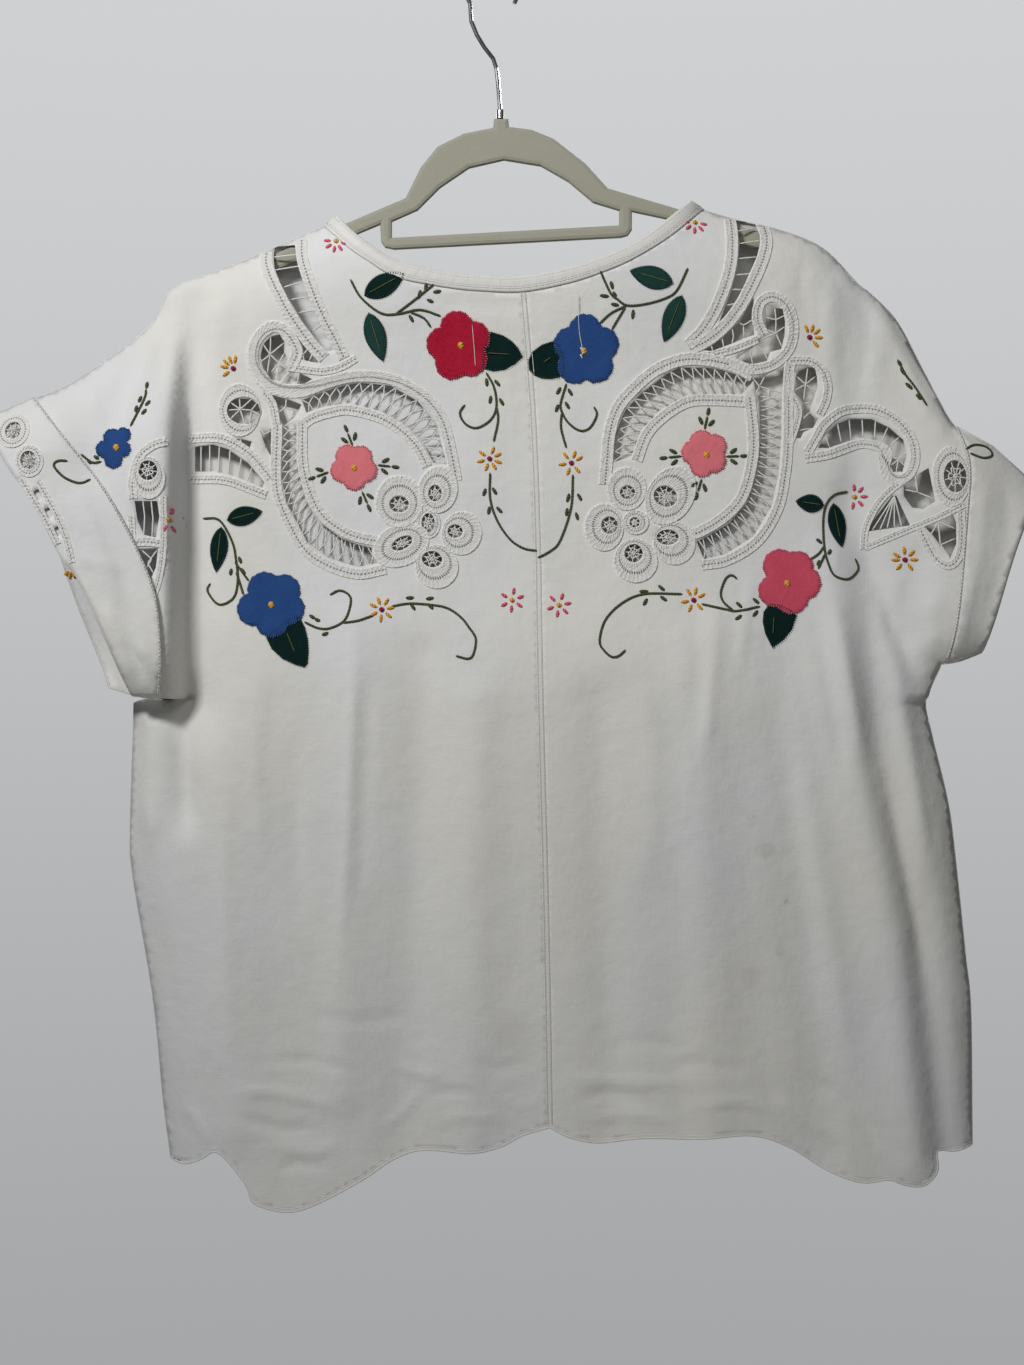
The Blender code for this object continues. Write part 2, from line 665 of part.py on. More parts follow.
def add_panels():
    """The two fronts and the back, with the points that the pieces on them share."""
    outlines = panel_outlines()
    left_free = line_through(LEFT_CUFF_EDGE, EDGE_STEP)
    right_free = line_through(RIGHT_CUFF_EDGE, EDGE_STEP)
    step_lines = [line_through(table, EDGE_STEP) for table in LEFT_STEP_LINES]
    ridge = [line_through(RIGHT_RIDGE, EDGE_STEP)]
    gaps = {
        "front_left": lace_gaps(LEFT_LADDERS, LEFT_WEBS, LEFT_LOOPS),
        "front_right": lace_gaps(RIGHT_LADDERS, RIGHT_WEBS, RIGHT_LOOPS),
        "back": [],
    }
    marks = {
        "front_left": [left_free] + step_lines,
        "front_right": [right_free] + ridge,
        "back": [left_free, right_free] + step_lines,
    }
    cuff_webs = [web_gap(web) for web in CUFF_WEBS]
    marks["front_left"] += [web + web[:1] for web in cuff_webs]
    for _, panel, outline, _ in applique_pieces():
        marks[panel].append(outline + outline[:1])
    panels = {}
    for name, outline in outlines.items():
        kind = "back" if name == "back" else "front"
        spacing = BACK_GRID if kind == "back" else FRONT_GRID
        flat, faces = cut_cloth(outline, gaps[name], marks[name], CLOSED_EDGES, spacing)
        panels[name] = (flat, faces, add_panel(name, kind, flat, faces))
    return panels


def add_appliques(panels):
    """Flowers and leaves, each a piece of cloth laid on a front."""
    lift = CLOTH / 2 + SEAM_GAP + APPLIQUE / 2 + 0.0001
    for name, panel, outline, colour in applique_pieces():
        finish = material(name, colour, 0.9)
        add_patch(name, panels[panel], outline, [], lambda spot: lift, APPLIQUE, finish, -1)


def add_binding():
    """The folded strip round the neck, over both shoulders and round the back."""
    count = 22
    outer = spread([place(*row) for row in NECK], count)
    inner = spread([place(*row) for row in NECK_EDGE], count)
    points = []
    for kind, order in (("front", range(count + 1)), ("back", range(count, -1, -1))):
        for number in order:
            for spot in (outer[number], inner[number]):
                points.append(Vector((spot.x, depth(kind, spot), spot.y)))
    pairs = len(points) // 2
    faces = []
    for number in range(pairs):
        after = (number + 1) % pairs
        faces.append((2 * number, 2 * number + 1, 2 * after + 1, 2 * after))
    mesh = bpy.data.meshes.new("neck_binding")
    mesh.from_pydata(points, [], faces)
    shape = bmesh.new()
    shape.from_mesh(mesh)
    bmesh.ops.recalc_face_normals(shape, faces=shape.faces)
    shape.to_mesh(mesh)
    shape.free()
    obj = add_object("neck_binding", mesh, cotton)
    wall = obj.modifiers.new("wall", "SOLIDIFY")
    wall.thickness = BINDING
    wall.offset = 0


def hanger_arm(table, limit, drop):
    """A line below the shoulder, out to the arm's end."""
    line = line_through(table, EDGE_STEP)
    kept = [point for point in line if abs(point.x) < abs(limit)]
    return [point - Vector((0, drop)) for point in kept]


def add_hanger():
    """The flat moulded body, its arms just under the shoulders and its bar below them."""
    left_limit = place(LEFT_ARM_END, 0).x
    right_limit = place(RIGHT_ARM_END, 0).x
    left_top = hanger_arm(LEFT_TOP, left_limit, ARM_DROP)
    right_top = hanger_arm(RIGHT_TOP, right_limit, ARM_DROP)
    left_foot = hanger_arm(LEFT_TOP, left_limit, ARM_DROP + ARM_HEIGHT)
    right_foot = hanger_arm(RIGHT_TOP, right_limit, ARM_DROP + ARM_HEIGHT)
    outline = left_top + [place(*row) for row in HANGER_TOP] + right_top
    outline += right_foot[::-1] + [place(*row) for row in HANGER_FOOT] + left_foot[::-1]
    eye = [place(*row) for row in HANGER_EYE]
    drawing = bpy.data.curves.new("hanger", "CURVE")
    drawing.dimensions = "2D"
    drawing.fill_mode = "BOTH"
    drawing.extrude = HANGER_THICK / 2 - HANGER_ROUND
    drawing.bevel_depth = HANGER_ROUND
    drawing.offset = -HANGER_ROUND
    drawing.bevel_resolution = 1
    for loop in (outline, eye):
        spline = drawing.splines.new("POLY")
        spline.points.add(len(loop) - 1)
        for point, spot in zip(spline.points, loop):
            point.co = (spot.x, spot.y, 0, 1)
        spline.use_cyclic_u = True
    obj = add_object("hanger", drawing, flock)
    obj.rotation_euler.x = math.pi / 2


def add_hook():
    """A bent wire with an open bend, screwed into a short collar on the hanger."""
    stem = [place(*row) for row in HOOK_STEM]
    centre = place(*HOOK_CENTRE)
    bend = []
    for number in range(1, HOOK_PARTS + 1):
        turn = math.pi + 0.70 - HOOK_SWEEP * number / HOOK_PARTS
        bend.append(centre + Vector((math.cos(turn), math.sin(turn))) * HOOK_RADIUS)
    drawing = bpy.data.curves.new("hook", "CURVE")
    drawing.dimensions = "3D"
    drawing.bevel_depth = WIRE / 2
    drawing.bevel_resolution = 2
    drawing.use_fill_caps = True
    spline = drawing.splines.new("POLY")
    line = stem + bend
    spline.points.add(len(line) - 1)
    for point, spot in zip(spline.points, line):
        point.co = (spot.x, 0, spot.y, 1)
    add_object("hook", drawing, chrome)
    foot = place(500, 113.6)
    bpy.ops.mesh.primitive_cylinder_add(
        vertices=16,
        radius=FERRULE_RADIUS,
        depth=FERRULE_HEIGHT,
        location=(foot.x, 0, foot.y + FERRULE_HEIGHT / 2),
    )
    ferrule = bpy.context.object
    ferrule.name = "hook_ferrule"
    ferrule.data.materials.append(chrome)
    for collection in ferrule.users_collection:
        collection.objects.unlink(ferrule)
    blouse.objects.link(ferrule)


for leftover in list(bpy.data.objects):
    bpy.data.objects.remove(leftover)
blouse = bpy.data.collections.new("lace_blouse_on_hanger")
bpy.context.scene.collection.children.link(blouse)
cotton = material("white_cotton", WHITE, 0.9)
flock = material("sage_flock", SAGE, 0.95)
chrome = material("chrome_wire", STEEL, 0.2, 1.0)
sewn = add_panels()
add_cuffs(sewn)
add_appliques(sewn)
add_binding()
add_hanger()
add_hook()
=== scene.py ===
import math

import bpy
import numpy as np
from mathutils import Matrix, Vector
from mathutils.geometry import delaunay_2d_cdt


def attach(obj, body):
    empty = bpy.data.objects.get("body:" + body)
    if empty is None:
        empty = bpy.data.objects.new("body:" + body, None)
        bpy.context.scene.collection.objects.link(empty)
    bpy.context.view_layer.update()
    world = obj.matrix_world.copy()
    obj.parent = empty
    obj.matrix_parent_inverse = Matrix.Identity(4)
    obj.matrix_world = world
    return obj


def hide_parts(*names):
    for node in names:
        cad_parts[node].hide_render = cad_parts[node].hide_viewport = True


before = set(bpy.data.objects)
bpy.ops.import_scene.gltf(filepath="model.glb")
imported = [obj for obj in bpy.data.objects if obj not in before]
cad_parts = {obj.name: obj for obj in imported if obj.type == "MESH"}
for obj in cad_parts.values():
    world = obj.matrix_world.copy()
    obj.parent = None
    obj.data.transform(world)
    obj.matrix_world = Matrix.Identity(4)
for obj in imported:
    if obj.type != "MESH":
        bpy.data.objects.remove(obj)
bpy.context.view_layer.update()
scene = bpy.context.scene

# The viewer stands straight before the middle of the blouse and a little over a metre from
# it, and sees the hook leave the top of the view.
camera_data = bpy.data.cameras.new("viewer")
camera_data.lens = 50
camera_data.sensor_width = 36
camera_data.clip_start = 0.01
viewer = bpy.data.objects.new("viewer", camera_data)
viewer.location = (0.014, -1.339, -0.50435)
viewer.rotation_euler = (math.pi / 2, 0, 0)
scene.collection.objects.link(viewer)
scene.camera = viewer

# The body and sleeves: two fronts and one back of thin white cotton, each cut in one with its
# half of the sleeves. They hang from the hanger, close together, and the lace is let into them.
# One step of the front view's tables in metres, and how thick the cloth is
STEP = 0.0007
CLOTH = 0.0006
# Edges and seams of the pieces, across and down in the front view
NECK = [(324, 222), (348, 246), (370, 262), (398, 278), (448, 288), (485, 291.5), (523, 292)]
NECK += [(567, 284), (602, 273), (634, 259), (670, 236), (704, 205.5)]
SEAM = [(523, 292), (533, 414), (538, 548), (540, 681), (546, 918), (549.7, 1124)]
LEFT_TOP = [(-8, 421), (36, 401), (60, 391), (100, 364), (150, 320), (165, 291), (185, 278)]
LEFT_TOP += [(240, 258), (300, 232), (322.5, 222.7)]
LEFT_SIDE = [(131, 703), (127, 830), (130, 880), (150, 1000), (160, 1100), (168, 1161)]
LEFT_HEM = [(168, 1161), (184, 1164), (203, 1157), (216, 1149), (230, 1159), (249, 1184)]
LEFT_HEM += [(253, 1197), (268, 1205), (295, 1208), (325, 1197), (364, 1176), (394, 1157)]
LEFT_HEM += [(425, 1147), (471, 1149), (500, 1143.6), (523, 1132), (549.7, 1124)]
LEFT_UNDERARM = [(138, 696), (160, 698), (188, 698.5)]
LEFT_SLIT = [(131, 703), (141, 699.4), (160, 699), (188, 698.9)]
LEFT_RIM = [(-8, 421), (20, 470), (45, 505), (73, 560), (90, 582), (112, 630), (138, 696)]
LEFT_BACK_RIM = [(-8, 421), (22, 474), (48, 518), (68, 576), (86, 625), (114, 688)]
LEFT_BACK_UNDERARM = [(114, 688), (150, 698), (188, 698.5)]
RIGHT_TOP = [(705.5, 206.2), (734, 215), (777, 225), (811, 237), (834, 252), (861, 281)]
RIGHT_TOP += [(875, 292), (901, 320), (926, 370), (939, 398), (957, 428), (992, 446), (1032, 482)]
RIGHT_SIDE = [(942, 664), (929, 700), (936, 738), (951.5, 803), (959, 860), (969, 956)]
RIGHT_SIDE += [(974.5, 1013), (976, 1147.5)]
RIGHT_HEM = [(549.7, 1124), (569, 1134), (599.5, 1140), (642, 1135), (691, 1135), (749, 1132)]
RIGHT_HEM += [(787, 1143.6), (825, 1167), (860, 1179), (886.5, 1176), (902, 1181), (921, 1182)]
RIGHT_HEM += [(936, 1168.5), (937, 1150.5), (955, 1152), (976, 1147.5)]
RIGHT_UNDERARM = [(942, 664), (960, 661), (981, 653)]
RIGHT_RIM = [(1032, 482), (1024, 513), (1004, 568), (981, 653)]
BACK_HEM = [(168, 1161), (200, 1152), (240, 1156), (290, 1150), (340, 1154), (390, 1142)]
BACK_HEM += [(440, 1138), (490, 1124), (546, 1112), (600, 1122), (650, 1116), (700, 1124)]
BACK_HEM += [(750, 1120), (800, 1136), (850, 1138), (900, 1152), (940, 1146), (976, 1147.5)]
RIGHT_RIDGE = [(848, 276), (878, 306), (896, 335), (913, 376), (928, 410), (943, 428), (958, 452)]

# Folds of the fronts and the back: a line from top to bottom, its width and height in metres
FRONT_FOLDS = [
    ([(196, 300), (198, 520), (208, 760)], 0.012, -0.009),
    ([(180, 690), (184, 750), (188, 850)], 0.010, -0.009),
    ([(146, 704), (149, 770), (152, 860)], 0.008, 0.004),
    ([(232, 700), (232, 900), (236, 1120)], 0.022, 0.004),
    ([(168, 300), (120, 430), (70, 520)], 0.020, -0.006),
    ([(357, 620), (350, 820), (342, 1090)], 0.014, 0.003),
    ([(421, 660), (415, 880), (400, 1150)], 0.018, -0.004),
    ([(478, 700), (476, 900), (470, 1140)], 0.016, 0.003),
    ([(600, 700), (604, 900), (610, 1130)], 0.016, -0.003),
    ([(700, 640), (702, 860), (712, 1130)], 0.020, 0.004),
    ([(780, 640), (800, 860), (820, 1150)], 0.018, -0.003),
    ([(835, 560), (858, 760), (893, 930), (914, 1160)], 0.018, 0.006),
    ([(849, 500), (880, 760), (918, 930), (945, 1150)], 0.013, -0.007),
    ([(868, 300), (858, 420), (856, 520), (890, 620), (930, 700)], 0.012, -0.006),
    (RIGHT_RIDGE, 0.006, 0.006),
    ([(918, 560), (908, 610), (925, 650)], 0.012, -0.004),
]
BACK_FOLDS = [
    ([(250, 420), (256, 760), (262, 1130)], 0.020, 0.005),
    ([(330, 520), (326, 800), (318, 1130)], 0.018, -0.005),
    ([(420, 420), (428, 760), (436, 1120)], 0.022, 0.004),
    ([(520, 560), (516, 800), (508, 1100)], 0.018, -0.004),
    ([(640, 460), (636, 760), (648, 1100)], 0.022, 0.005),
    ([(730, 560), (742, 800), (750, 1110)], 0.018, -0.005),
    ([(830, 420), (850, 760), (868, 1130)], 0.020, 0.005),
]
# Smaller creases, with the sharp ones pressed in by the iron
FRONT_CREASES = [
    ([(357, 600), (352, 760), (346, 880), (341, 980)], 0.0030, 0.0011),
    ([(372, 640), (366, 780), (360, 930)], 0.0050, -0.0008),
    ([(217, 960), (212, 1010), (203, 1074)], 0.0026, 0.0009),
    ([(228, 760), (226, 900), (230, 1120)], 0.0060, 0.0010),
    ([(300, 700), (296, 820), (300, 960)], 0.0080, -0.0009),
    ([(262, 660), (258, 760), (266, 880)], 0.0070, 0.0010),
    ([(826, 575), (842, 660), (861, 770)], 0.0055, 0.0017),
    ([(812, 600), (830, 700), (842, 790)], 0.0050, -0.0012),
    ([(856, 512), (880, 590), (910, 660), (932, 705)], 0.0050, -0.0019),
    ([(872, 600), (896, 680), (914, 780), (930, 900)], 0.0060, 0.0022),
    ([(880, 760), (906, 880), (930, 1010)], 0.0045, -0.0014),
    ([(790, 660), (804, 790), (830, 960), (850, 1100)], 0.0090, 0.0016),
    ([(756, 560), (746, 612), (736, 680)], 0.0030, 0.0010),
    ([(718, 590), (710, 680), (701, 770)], 0.0040, 0.0009),
    ([(690, 560), (696, 660), (692, 760)], 0.0080, -0.0012),
    ([(640, 660), (652, 780), (644, 900)], 0.0090, 0.0009),
    ([(566, 389), (596, 384), (622, 375)], 0.0020, -0.0009),
    ([(562, 474), (584, 470), (606, 463)], 0.0020, 0.0006),
    ([(430, 300), (500, 306), (560, 300)], 0.0050, -0.0007),
    ([(520, 320), (508, 380), (512, 440)], 0.0060, 0.0007),
    ([(330, 262), (352, 274), (366, 292)], 0.0024, -0.0007),
    ([(318, 250), (336, 266), (344, 284)], 0.0024, 0.0006),
    ([(836, 262), (828, 330), (832, 400)], 0.0060, 0.0013),
    ([(806, 246), (800, 290), (806, 330)], 0.0050, -0.0010),
    ([(852, 300), (846, 360), (848, 404)], 0.0050, -0.0012),
    ([(884, 330), (872, 380), (870, 410)], 0.0050, 0.0012),
    ([(866, 560), (880, 590), (884, 640)], 0.0040, 0.0012),
    ([(898, 570), (894, 610), (904, 650)], 0.0040, 0.0010),
    ([(936, 580), (930, 620), (934, 656)], 0.0040, 0.0010),
    ([(221, 1086), (280, 1090), (349, 1107)], 0.0034, 0.0010),
    ([(250, 1060), (310, 1058), (372, 1072)], 0.0030, -0.0008),
    ([(232, 1112), (276, 1124), (330, 1128)], 0.0036, -0.0011),
    ([(264, 1140), (310, 1148), (350, 1140)], 0.0034, 0.0010),
    ([(178, 1100), (196, 1116), (214, 1146)], 0.0034, 0.0010),
    ([(276, 1170), (300, 1160), (334, 1166)], 0.0030, -0.0009),
    ([(392, 1060), (420, 1072), (452, 1070)], 0.0030, 0.0008),
    ([(420, 1096), (452, 1088), (486, 1094)], 0.0028, -0.0009),
    ([(430, 1120), (470, 1112), (512, 1118)], 0.0030, 0.0010),
    ([(470, 1058), (500, 1066), (532, 1058)], 0.0026, -0.0007),
    ([(380, 1128), (404, 1110), (424, 1084)], 0.0030, 0.0008),
    ([(500, 1092), (520, 1104), (540, 1098)], 0.0024, 0.0007),
    ([(556, 1075), (630, 1080), (713, 1079)], 0.0032, 0.0010),
    ([(566, 1100), (610, 1092), (660, 1100)], 0.0028, -0.0009),
    ([(580, 1118), (630, 1112), (690, 1120)], 0.0030, 0.0009),
    ([(660, 1062), (700, 1060), (752, 1070)], 0.0030, -0.0008),
    ([(690, 1104), (736, 1098), (780, 1112)], 0.0030, 0.0009),
    ([(770, 1090), (800, 1116), (836, 1140)], 0.0036, 0.0012),
    ([(800, 1070), (846, 1100), (880, 1150)], 0.0040, -0.0012),
    ([(600, 1050), (640, 1040), (690, 1046)], 0.0040, -0.0006),
    ([(300, 1010), (360, 1020), (420, 1012)], 0.0050, -0.0006),
    ([(138, 780), (160, 860), (172, 940)], 0.0060, 0.0012),
    ([(148, 900), (170, 980), (182, 1060)], 0.0050, -0.0010),
    ([(140, 330), (160, 312), (176, 300)], 0.0040, -0.0010),
    ([(161, 298), (140, 390), (118, 480)], 0.0060, 0.0018),
    ([(150, 330), (172, 400), (180, 470)], 0.0060, -0.0012),
    ([(96, 380), (104, 430), (120, 470)], 0.0060, 0.0010),
    ([(120, 360), (132, 410), (138, 440)], 0.0050, -0.0009),
    ([(204, 284), (214, 340), (210, 400)], 0.0060, 0.0012),
    ([(236, 272), (240, 320), (236, 360)], 0.0070, -0.0008),
]
BACK_CREASES = [
    ([(300, 300), (340, 420), (352, 560)], 0.0070, 0.0014),
    ([(700, 280), (676, 420), (684, 560)], 0.0070, 0.0014),
    ([(420, 620), (412, 780), (420, 960)], 0.0050, -0.0011),
    ([(580, 600), (590, 800), (584, 1000)], 0.0034, 0.0011),
    ([(240, 700), (300, 690), (352, 720)], 0.0050, 0.0012),
    ([(760, 700), (812, 730), (880, 720)], 0.0050, 0.0012),
    ([(860, 480), (900, 560), (930, 660)], 0.0060, -0.0018),
    ([(210, 420), (190, 520), (180, 640)], 0.0060, 0.0014),
    ([(260, 1080), (360, 1096), (470, 1080)], 0.0034, 0.0010),
    ([(560, 1070), (680, 1086), (800, 1072)], 0.0034, 0.0010),
    ([(330, 1120), (400, 1110), (470, 1116)], 0.0030, -0.0009),
    ([(620, 1100), (700, 1096), (760, 1108)], 0.0030, -0.0009),
    ([(820, 1100), (880, 1120), (940, 1116)], 0.0034, 0.0010),
    ([(450, 400), (520, 430), (600, 404)], 0.0060, -0.0010),
    ([(80, 430), (120, 520), (140, 620)], 0.0060, 0.0014),
]
# How far the cloth stands from the hanger's plane away from the seams, how far the front and the
# back sink towards each other at the lace, and the middle and half size of that part
BODY_DEPTH = 0.020
SUNK = {-1: 0.013, 1: 0.023}
LACE_MIDDLE = (0.030, -0.352)
LACE_REACH = (0.31, 0.112)
# The creases' heights are multiplied by this
CREASE_DEPTH = 1.5
# How far forward each sleeve hangs, and the level below which the cloth is the body alone
LEFT_SWING = 0.028
RIGHT_SWING = 0.010
SLEEVES_END = 698.7


def place(rows):
    """Points of the front view in metres, right of and above the rail inside the hook."""
    rows = np.asarray(rows, float)
    return np.stack([(rows[:, 0] - 492) * STEP, (-38 - rows[:, 1]) * STEP], axis=1)


def smooth(rows, step=0.004):
    """A smooth line through a table's points."""
    points = place(rows)
    ends = np.vstack([2 * points[0] - points[1], points, 2 * points[-1] - points[-2]])
    line = []
    for before, start, end, after in zip(ends, ends[1:], ends[2:], ends[3:]):
        parts = max(1, round(float(np.linalg.norm(end - start)) / step))
        t = np.arange(parts)[:, None] / parts
        bend = (2 * before - 5 * start + 4 * end - after) * t**2
        turn = (3 * start - before - 3 * end + after) * t**3
        line.append((2 * start + (end - before) * t + bend + turn) / 2)
    return np.vstack(line + [points[-1:]])


def beside(line, spots):
    """How far each spot lies from a line, and how far along the line that is, from 0 to 1."""
    nearest = np.full(len(spots), 9.0)
    along = np.zeros(len(spots))
    for number, (start, end) in enumerate(zip(line, line[1:])):
        stretch = end - start
        share = np.clip((spots - start) @ stretch / max(stretch @ stretch, 1e-12), 0, 1)
        gap = np.hypot(*(spots - start - share[:, None] * stretch).T)
        closer = gap < nearest
        nearest[closer] = gap[closer]
        along[closer] = (number + share[closer]) / (len(line) - 1)
    return nearest, along


def within(loop, spots):
    """Whether a closed loop goes round each spot."""
    inside = np.zeros(len(spots), bool)
    for start, end in zip(loop, np.roll(loop, -1, axis=0)):
        if start[1] != end[1]:
            level = (start[1] > spots[:, 1]) != (end[1] > spots[:, 1])
            reach = (spots[:, 1] - start[1]) * (end[0] - start[0]) / (end[1] - start[1])
            inside ^= level & (spots[:, 0] < start[0] + reach)
    return inside


def closed(loop):
    """A loop that ends again at its first point."""
    return np.vstack([loop, loop[:1]])


def ease(value):
    """A soft rise from 0 to 1 while the value goes from 0 to 1."""
    value = np.clip(value, 0, 1)
    return value * value * (3 - 2 * value)


sewn_edges = [
    smooth(rows, 0.010)
    for rows in (
        LEFT_TOP,
        LEFT_SIDE,
        LEFT_UNDERARM,
        LEFT_BACK_UNDERARM,
        LEFT_SLIT,
        RIGHT_TOP,
        RIGHT_SIDE,
        RIGHT_UNDERARM,
    )
]


def sleeve_swing(spots):
    """How far forward the sleeves hang."""
    across = spots[:, 0] / STEP + 492
    down = -38 - spots[:, 1] / STEP
    left = LEFT_SWING * ease((188 - across) / 15) * ease((down - 310) / 150)
    right = RIGHT_SWING * ease((across - 880) / 80) * ease((down - 300) / 120)
    return np.where(down > SLEEVES_END, 0, left + right)


def cloth_depth(side, spots):
    """Y of the cloth at spots of the front view. side is -1 for a front and 1 for the back."""
    near = np.full(len(spots), 9.0)
    for edge in sewn_edges:
        near = np.minimum(near, beside(edge, spots)[0])
    lace_zone = np.exp(-(((spots - LACE_MIDDLE) / LACE_REACH) ** 4).sum(axis=1))
    bulge = 0.0010 + (BODY_DEPTH - SUNK[side] * lace_zone) * (1 - np.exp(-near / 0.020))
    fade = (1 - np.exp(-near / 0.015)) * (1 - 0.7 * lace_zone)
    for rows, width, height in FRONT_FOLDS if side < 0 else BACK_FOLDS:
        away, along = beside(place(rows), spots)
        # A fold that reaches the hem keeps its depth there, and the others run out
        end = ease((1 - along) / 0.25) if rows[-1][1] < 1000 else 1
        bulge += height * np.exp(-((away / width) ** 2)) * fade * end
    for rows, width, height in FRONT_CREASES if side < 0 else BACK_CREASES:
        away, along = beside(smooth(rows, 0.01), spots)
        ends = ease(along / 0.3) * ease((1 - along) / 0.3)
        bulge += CREASE_DEPTH * height * np.exp(-((away / width) ** 2)) * ends * fade
    return side * bulge - sleeve_swing(spots)


def cut_cloth(outline, gaps, spacing):
    """Points and triangles of a flat piece inside its outline, with the gaps cut out."""
    points = []
    borders = []
    for loop in [outline] + gaps:
        first = len(points)
        points += [Vector(point) for point in loop]
        borders += [(first + n, first + (n + 1) % len(loop)) for n in range(len(loop))]
    low = outline.min(axis=0)
    high = outline.max(axis=0)
    # Points in staggered rows, without those close to an edge
    rows = []
    for n, level in enumerate(np.arange(low[1], high[1], spacing * 0.87)):
        row = np.arange(low[0] + spacing / 2 * (n % 2), high[0], spacing)
        rows.append(np.stack([row, np.full(len(row), level)], axis=1))
    grid = np.vstack(rows)
    grid = grid[within(outline, grid)]
    for loop in [outline] + gaps:
        if loop is not outline:
            grid = grid[~within(loop, grid)]
        grid = grid[beside(closed(loop), grid)[0] > spacing * 0.45]
    points += [Vector(point) for point in grid]
    flat, _, faces, _, _, _ = delaunay_2d_cdt(points, borders, [], 0, 1e-7)
    flat = np.array(flat)
    faces = np.array([face for face in faces if len(face) == 3])
    middle = flat[faces].mean(axis=1)
    kept = within(outline, middle)
    for gap in gaps:
        kept &= ~within(gap, middle)
    return flat, faces[kept]


def add_piece(name, points, faces, finish, thickness=0.0, marks=None, stands_for=()):
    """A mesh that rides on the body. marks are the U and V of each point."""
    used = np.unique(faces)
    renumber = np.zeros(len(points), int)
    renumber[used] = np.arange(len(used))
    faces = renumber[faces]
    mesh = bpy.data.meshes.new(name)
    mesh.from_pydata(points[used].tolist(), [], faces.tolist())
    mesh.shade_smooth()
    if marks is not None:
        layer = mesh.uv_layers.new(name="lay")
        layer.data.foreach_set("uv", marks[used][faces.ravel()].ravel())
    mesh.materials.append(finish)
    piece = bpy.data.objects.new(name, mesh)
    scene.collection.objects.link(piece)
    if thickness:
        wall = piece.modifiers.new("wall", "SOLIDIFY")
        wall.thickness = thickness
        wall.offset = 0
    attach(piece, "root")
    if stands_for:
        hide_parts(*stands_for)
    return piece


def upright(flat, depth):
    """Spots of the front view as points in space, with their Y."""
    return np.stack([flat[:, 0], depth, flat[:, 1]], axis=1)


class Value:
    """A number or colour that varies over a finish, with the signs of arithmetic."""

    def __init__(self, finish, socket):
        self.finish = finish
        self.socket = socket

    def math(self, operation, *others):
        inputs = dict(enumerate((self,) + others))
        return self.finish.add("ShaderNodeMath", {"operation": operation}, inputs)

    def __add__(self, other):
        return self.math("ADD", other)

    def __mul__(self, other):
        return self.math("MULTIPLY", other)

    def __sub__(self, other):
        return self.math("SUBTRACT", other)

    def __rsub__(self, other):
        return self.math("MULTIPLY", -1).math("ADD", other)

    def __truediv__(self, other):
        return self.math("DIVIDE", other)

    __radd__ = __add__
    __rmul__ = __mul__

    def step(self, low, high):
        """0 below low and 1 above high, or the other way round."""
        settings = {"interpolation_type": "SMOOTHSTEP"}
        return self.finish.add("ShaderNodeMapRange", settings, {0: self, 1: low, 2: high})


class Finish:
    """A material, its shader, and the one way to add nodes to it."""

    def __init__(self, name, roughness, sheen=0.0, metallic=0.0, gloss=0.2):
        self.material = bpy.data.materials.new(name)
        self.material.use_nodes = True
        self.tree = self.material.node_tree
        self.shader = self.tree.nodes["Principled BSDF"]
        self.shader.inputs["Roughness"].default_value = roughness
        self.shader.inputs["Sheen Weight"].default_value = sheen
        self.shader.inputs["Specular IOR Level"].default_value = gloss
        self.shader.inputs["Metallic"].default_value = metallic

    def add(self, kind, settings, inputs, output=0):
        """A node with its settings and inputs, given back as one of its outputs."""
        node = self.tree.nodes.new(kind)
        for key, value in settings.items():
            setattr(node, key, value)
        for key, value in inputs.items():
            self.feed(node.inputs[key], value)
        return Value(self, node.outputs[output])

    def feed(self, socket, value):
        if isinstance(value, Value):
            self.tree.links.new(value.socket, socket)
        else:
            socket.default_value = value

    def place(self, kind="Object"):
        """Where a point is on the object, or in its lay."""
        return self.add("ShaderNodeTexCoord", {}, {}, kind)

    def axes(self, spot):
        """The three numbers of a place."""
        return [self.add("ShaderNodeSeparateXYZ", {}, {0: spot}, n) for n in range(3)]

    def cloud(self, spot, scale, stretch=(1, 1, 1), detail=2.0):
        """Soft noise from 0 to 1, with its scale in grains a metre."""
        wide = self.add("ShaderNodeVectorMath", {"operation": "MULTIPLY"}, {0: spot, 1: stretch})
        inputs = {"Vector": wide, "Scale": scale, "Detail": detail}
        return self.add("ShaderNodeTexNoise", {}, inputs)

    def blend(self, share, first, second):
        """The first colour where the share is 0, and the second where it is 1."""
        settings = {"data_type": "RGBA"}
        first = first if isinstance(first, Value) else (*first, 1)
        second = second if isinstance(second, Value) else (*second, 1)
        return self.add("ShaderNodeMix", settings, {0: share, 6: first, 7: second}, 2)

    def paint(self, colour, height=None):
        """The finished material, with its colour and the height of its relief in metres."""
        self.feed(self.shader.inputs["Base Color"], colour)
        if height is not None:
            inputs = {"Strength": 1.0, "Distance": 1.0, "Height": height}
            self.feed(self.shader.inputs["Normal"], self.add("ShaderNodeBump", {}, inputs))
        return self.material


WEAVE = 0.00055


def woven(finish, spot, axes, crumple=1.0):
    """Height of a plain weave with thicker threads here and there, and of soft crumples."""
    across = (axes[0] * (2 * math.pi / WEAVE)).math("SINE")
    down = (axes[2] * (2 * math.pi / WEAVE)).math("SINE")
    height = across * down * 0.000012
    height = height + finish.cloud(spot, 60, (1, 1, 18), 3.0) * 0.00010
    height = height + finish.cloud(spot, 60, (18, 1, 1), 3.0) * 0.00010
    height = height + finish.cloud(spot, 20, (1, 1, 0.6), 4.0) * (0.0024 * crumple)
    return height + finish.cloud(spot, 75, (1, 1, 1.3), 3.0) * (0.0007 * crumple)


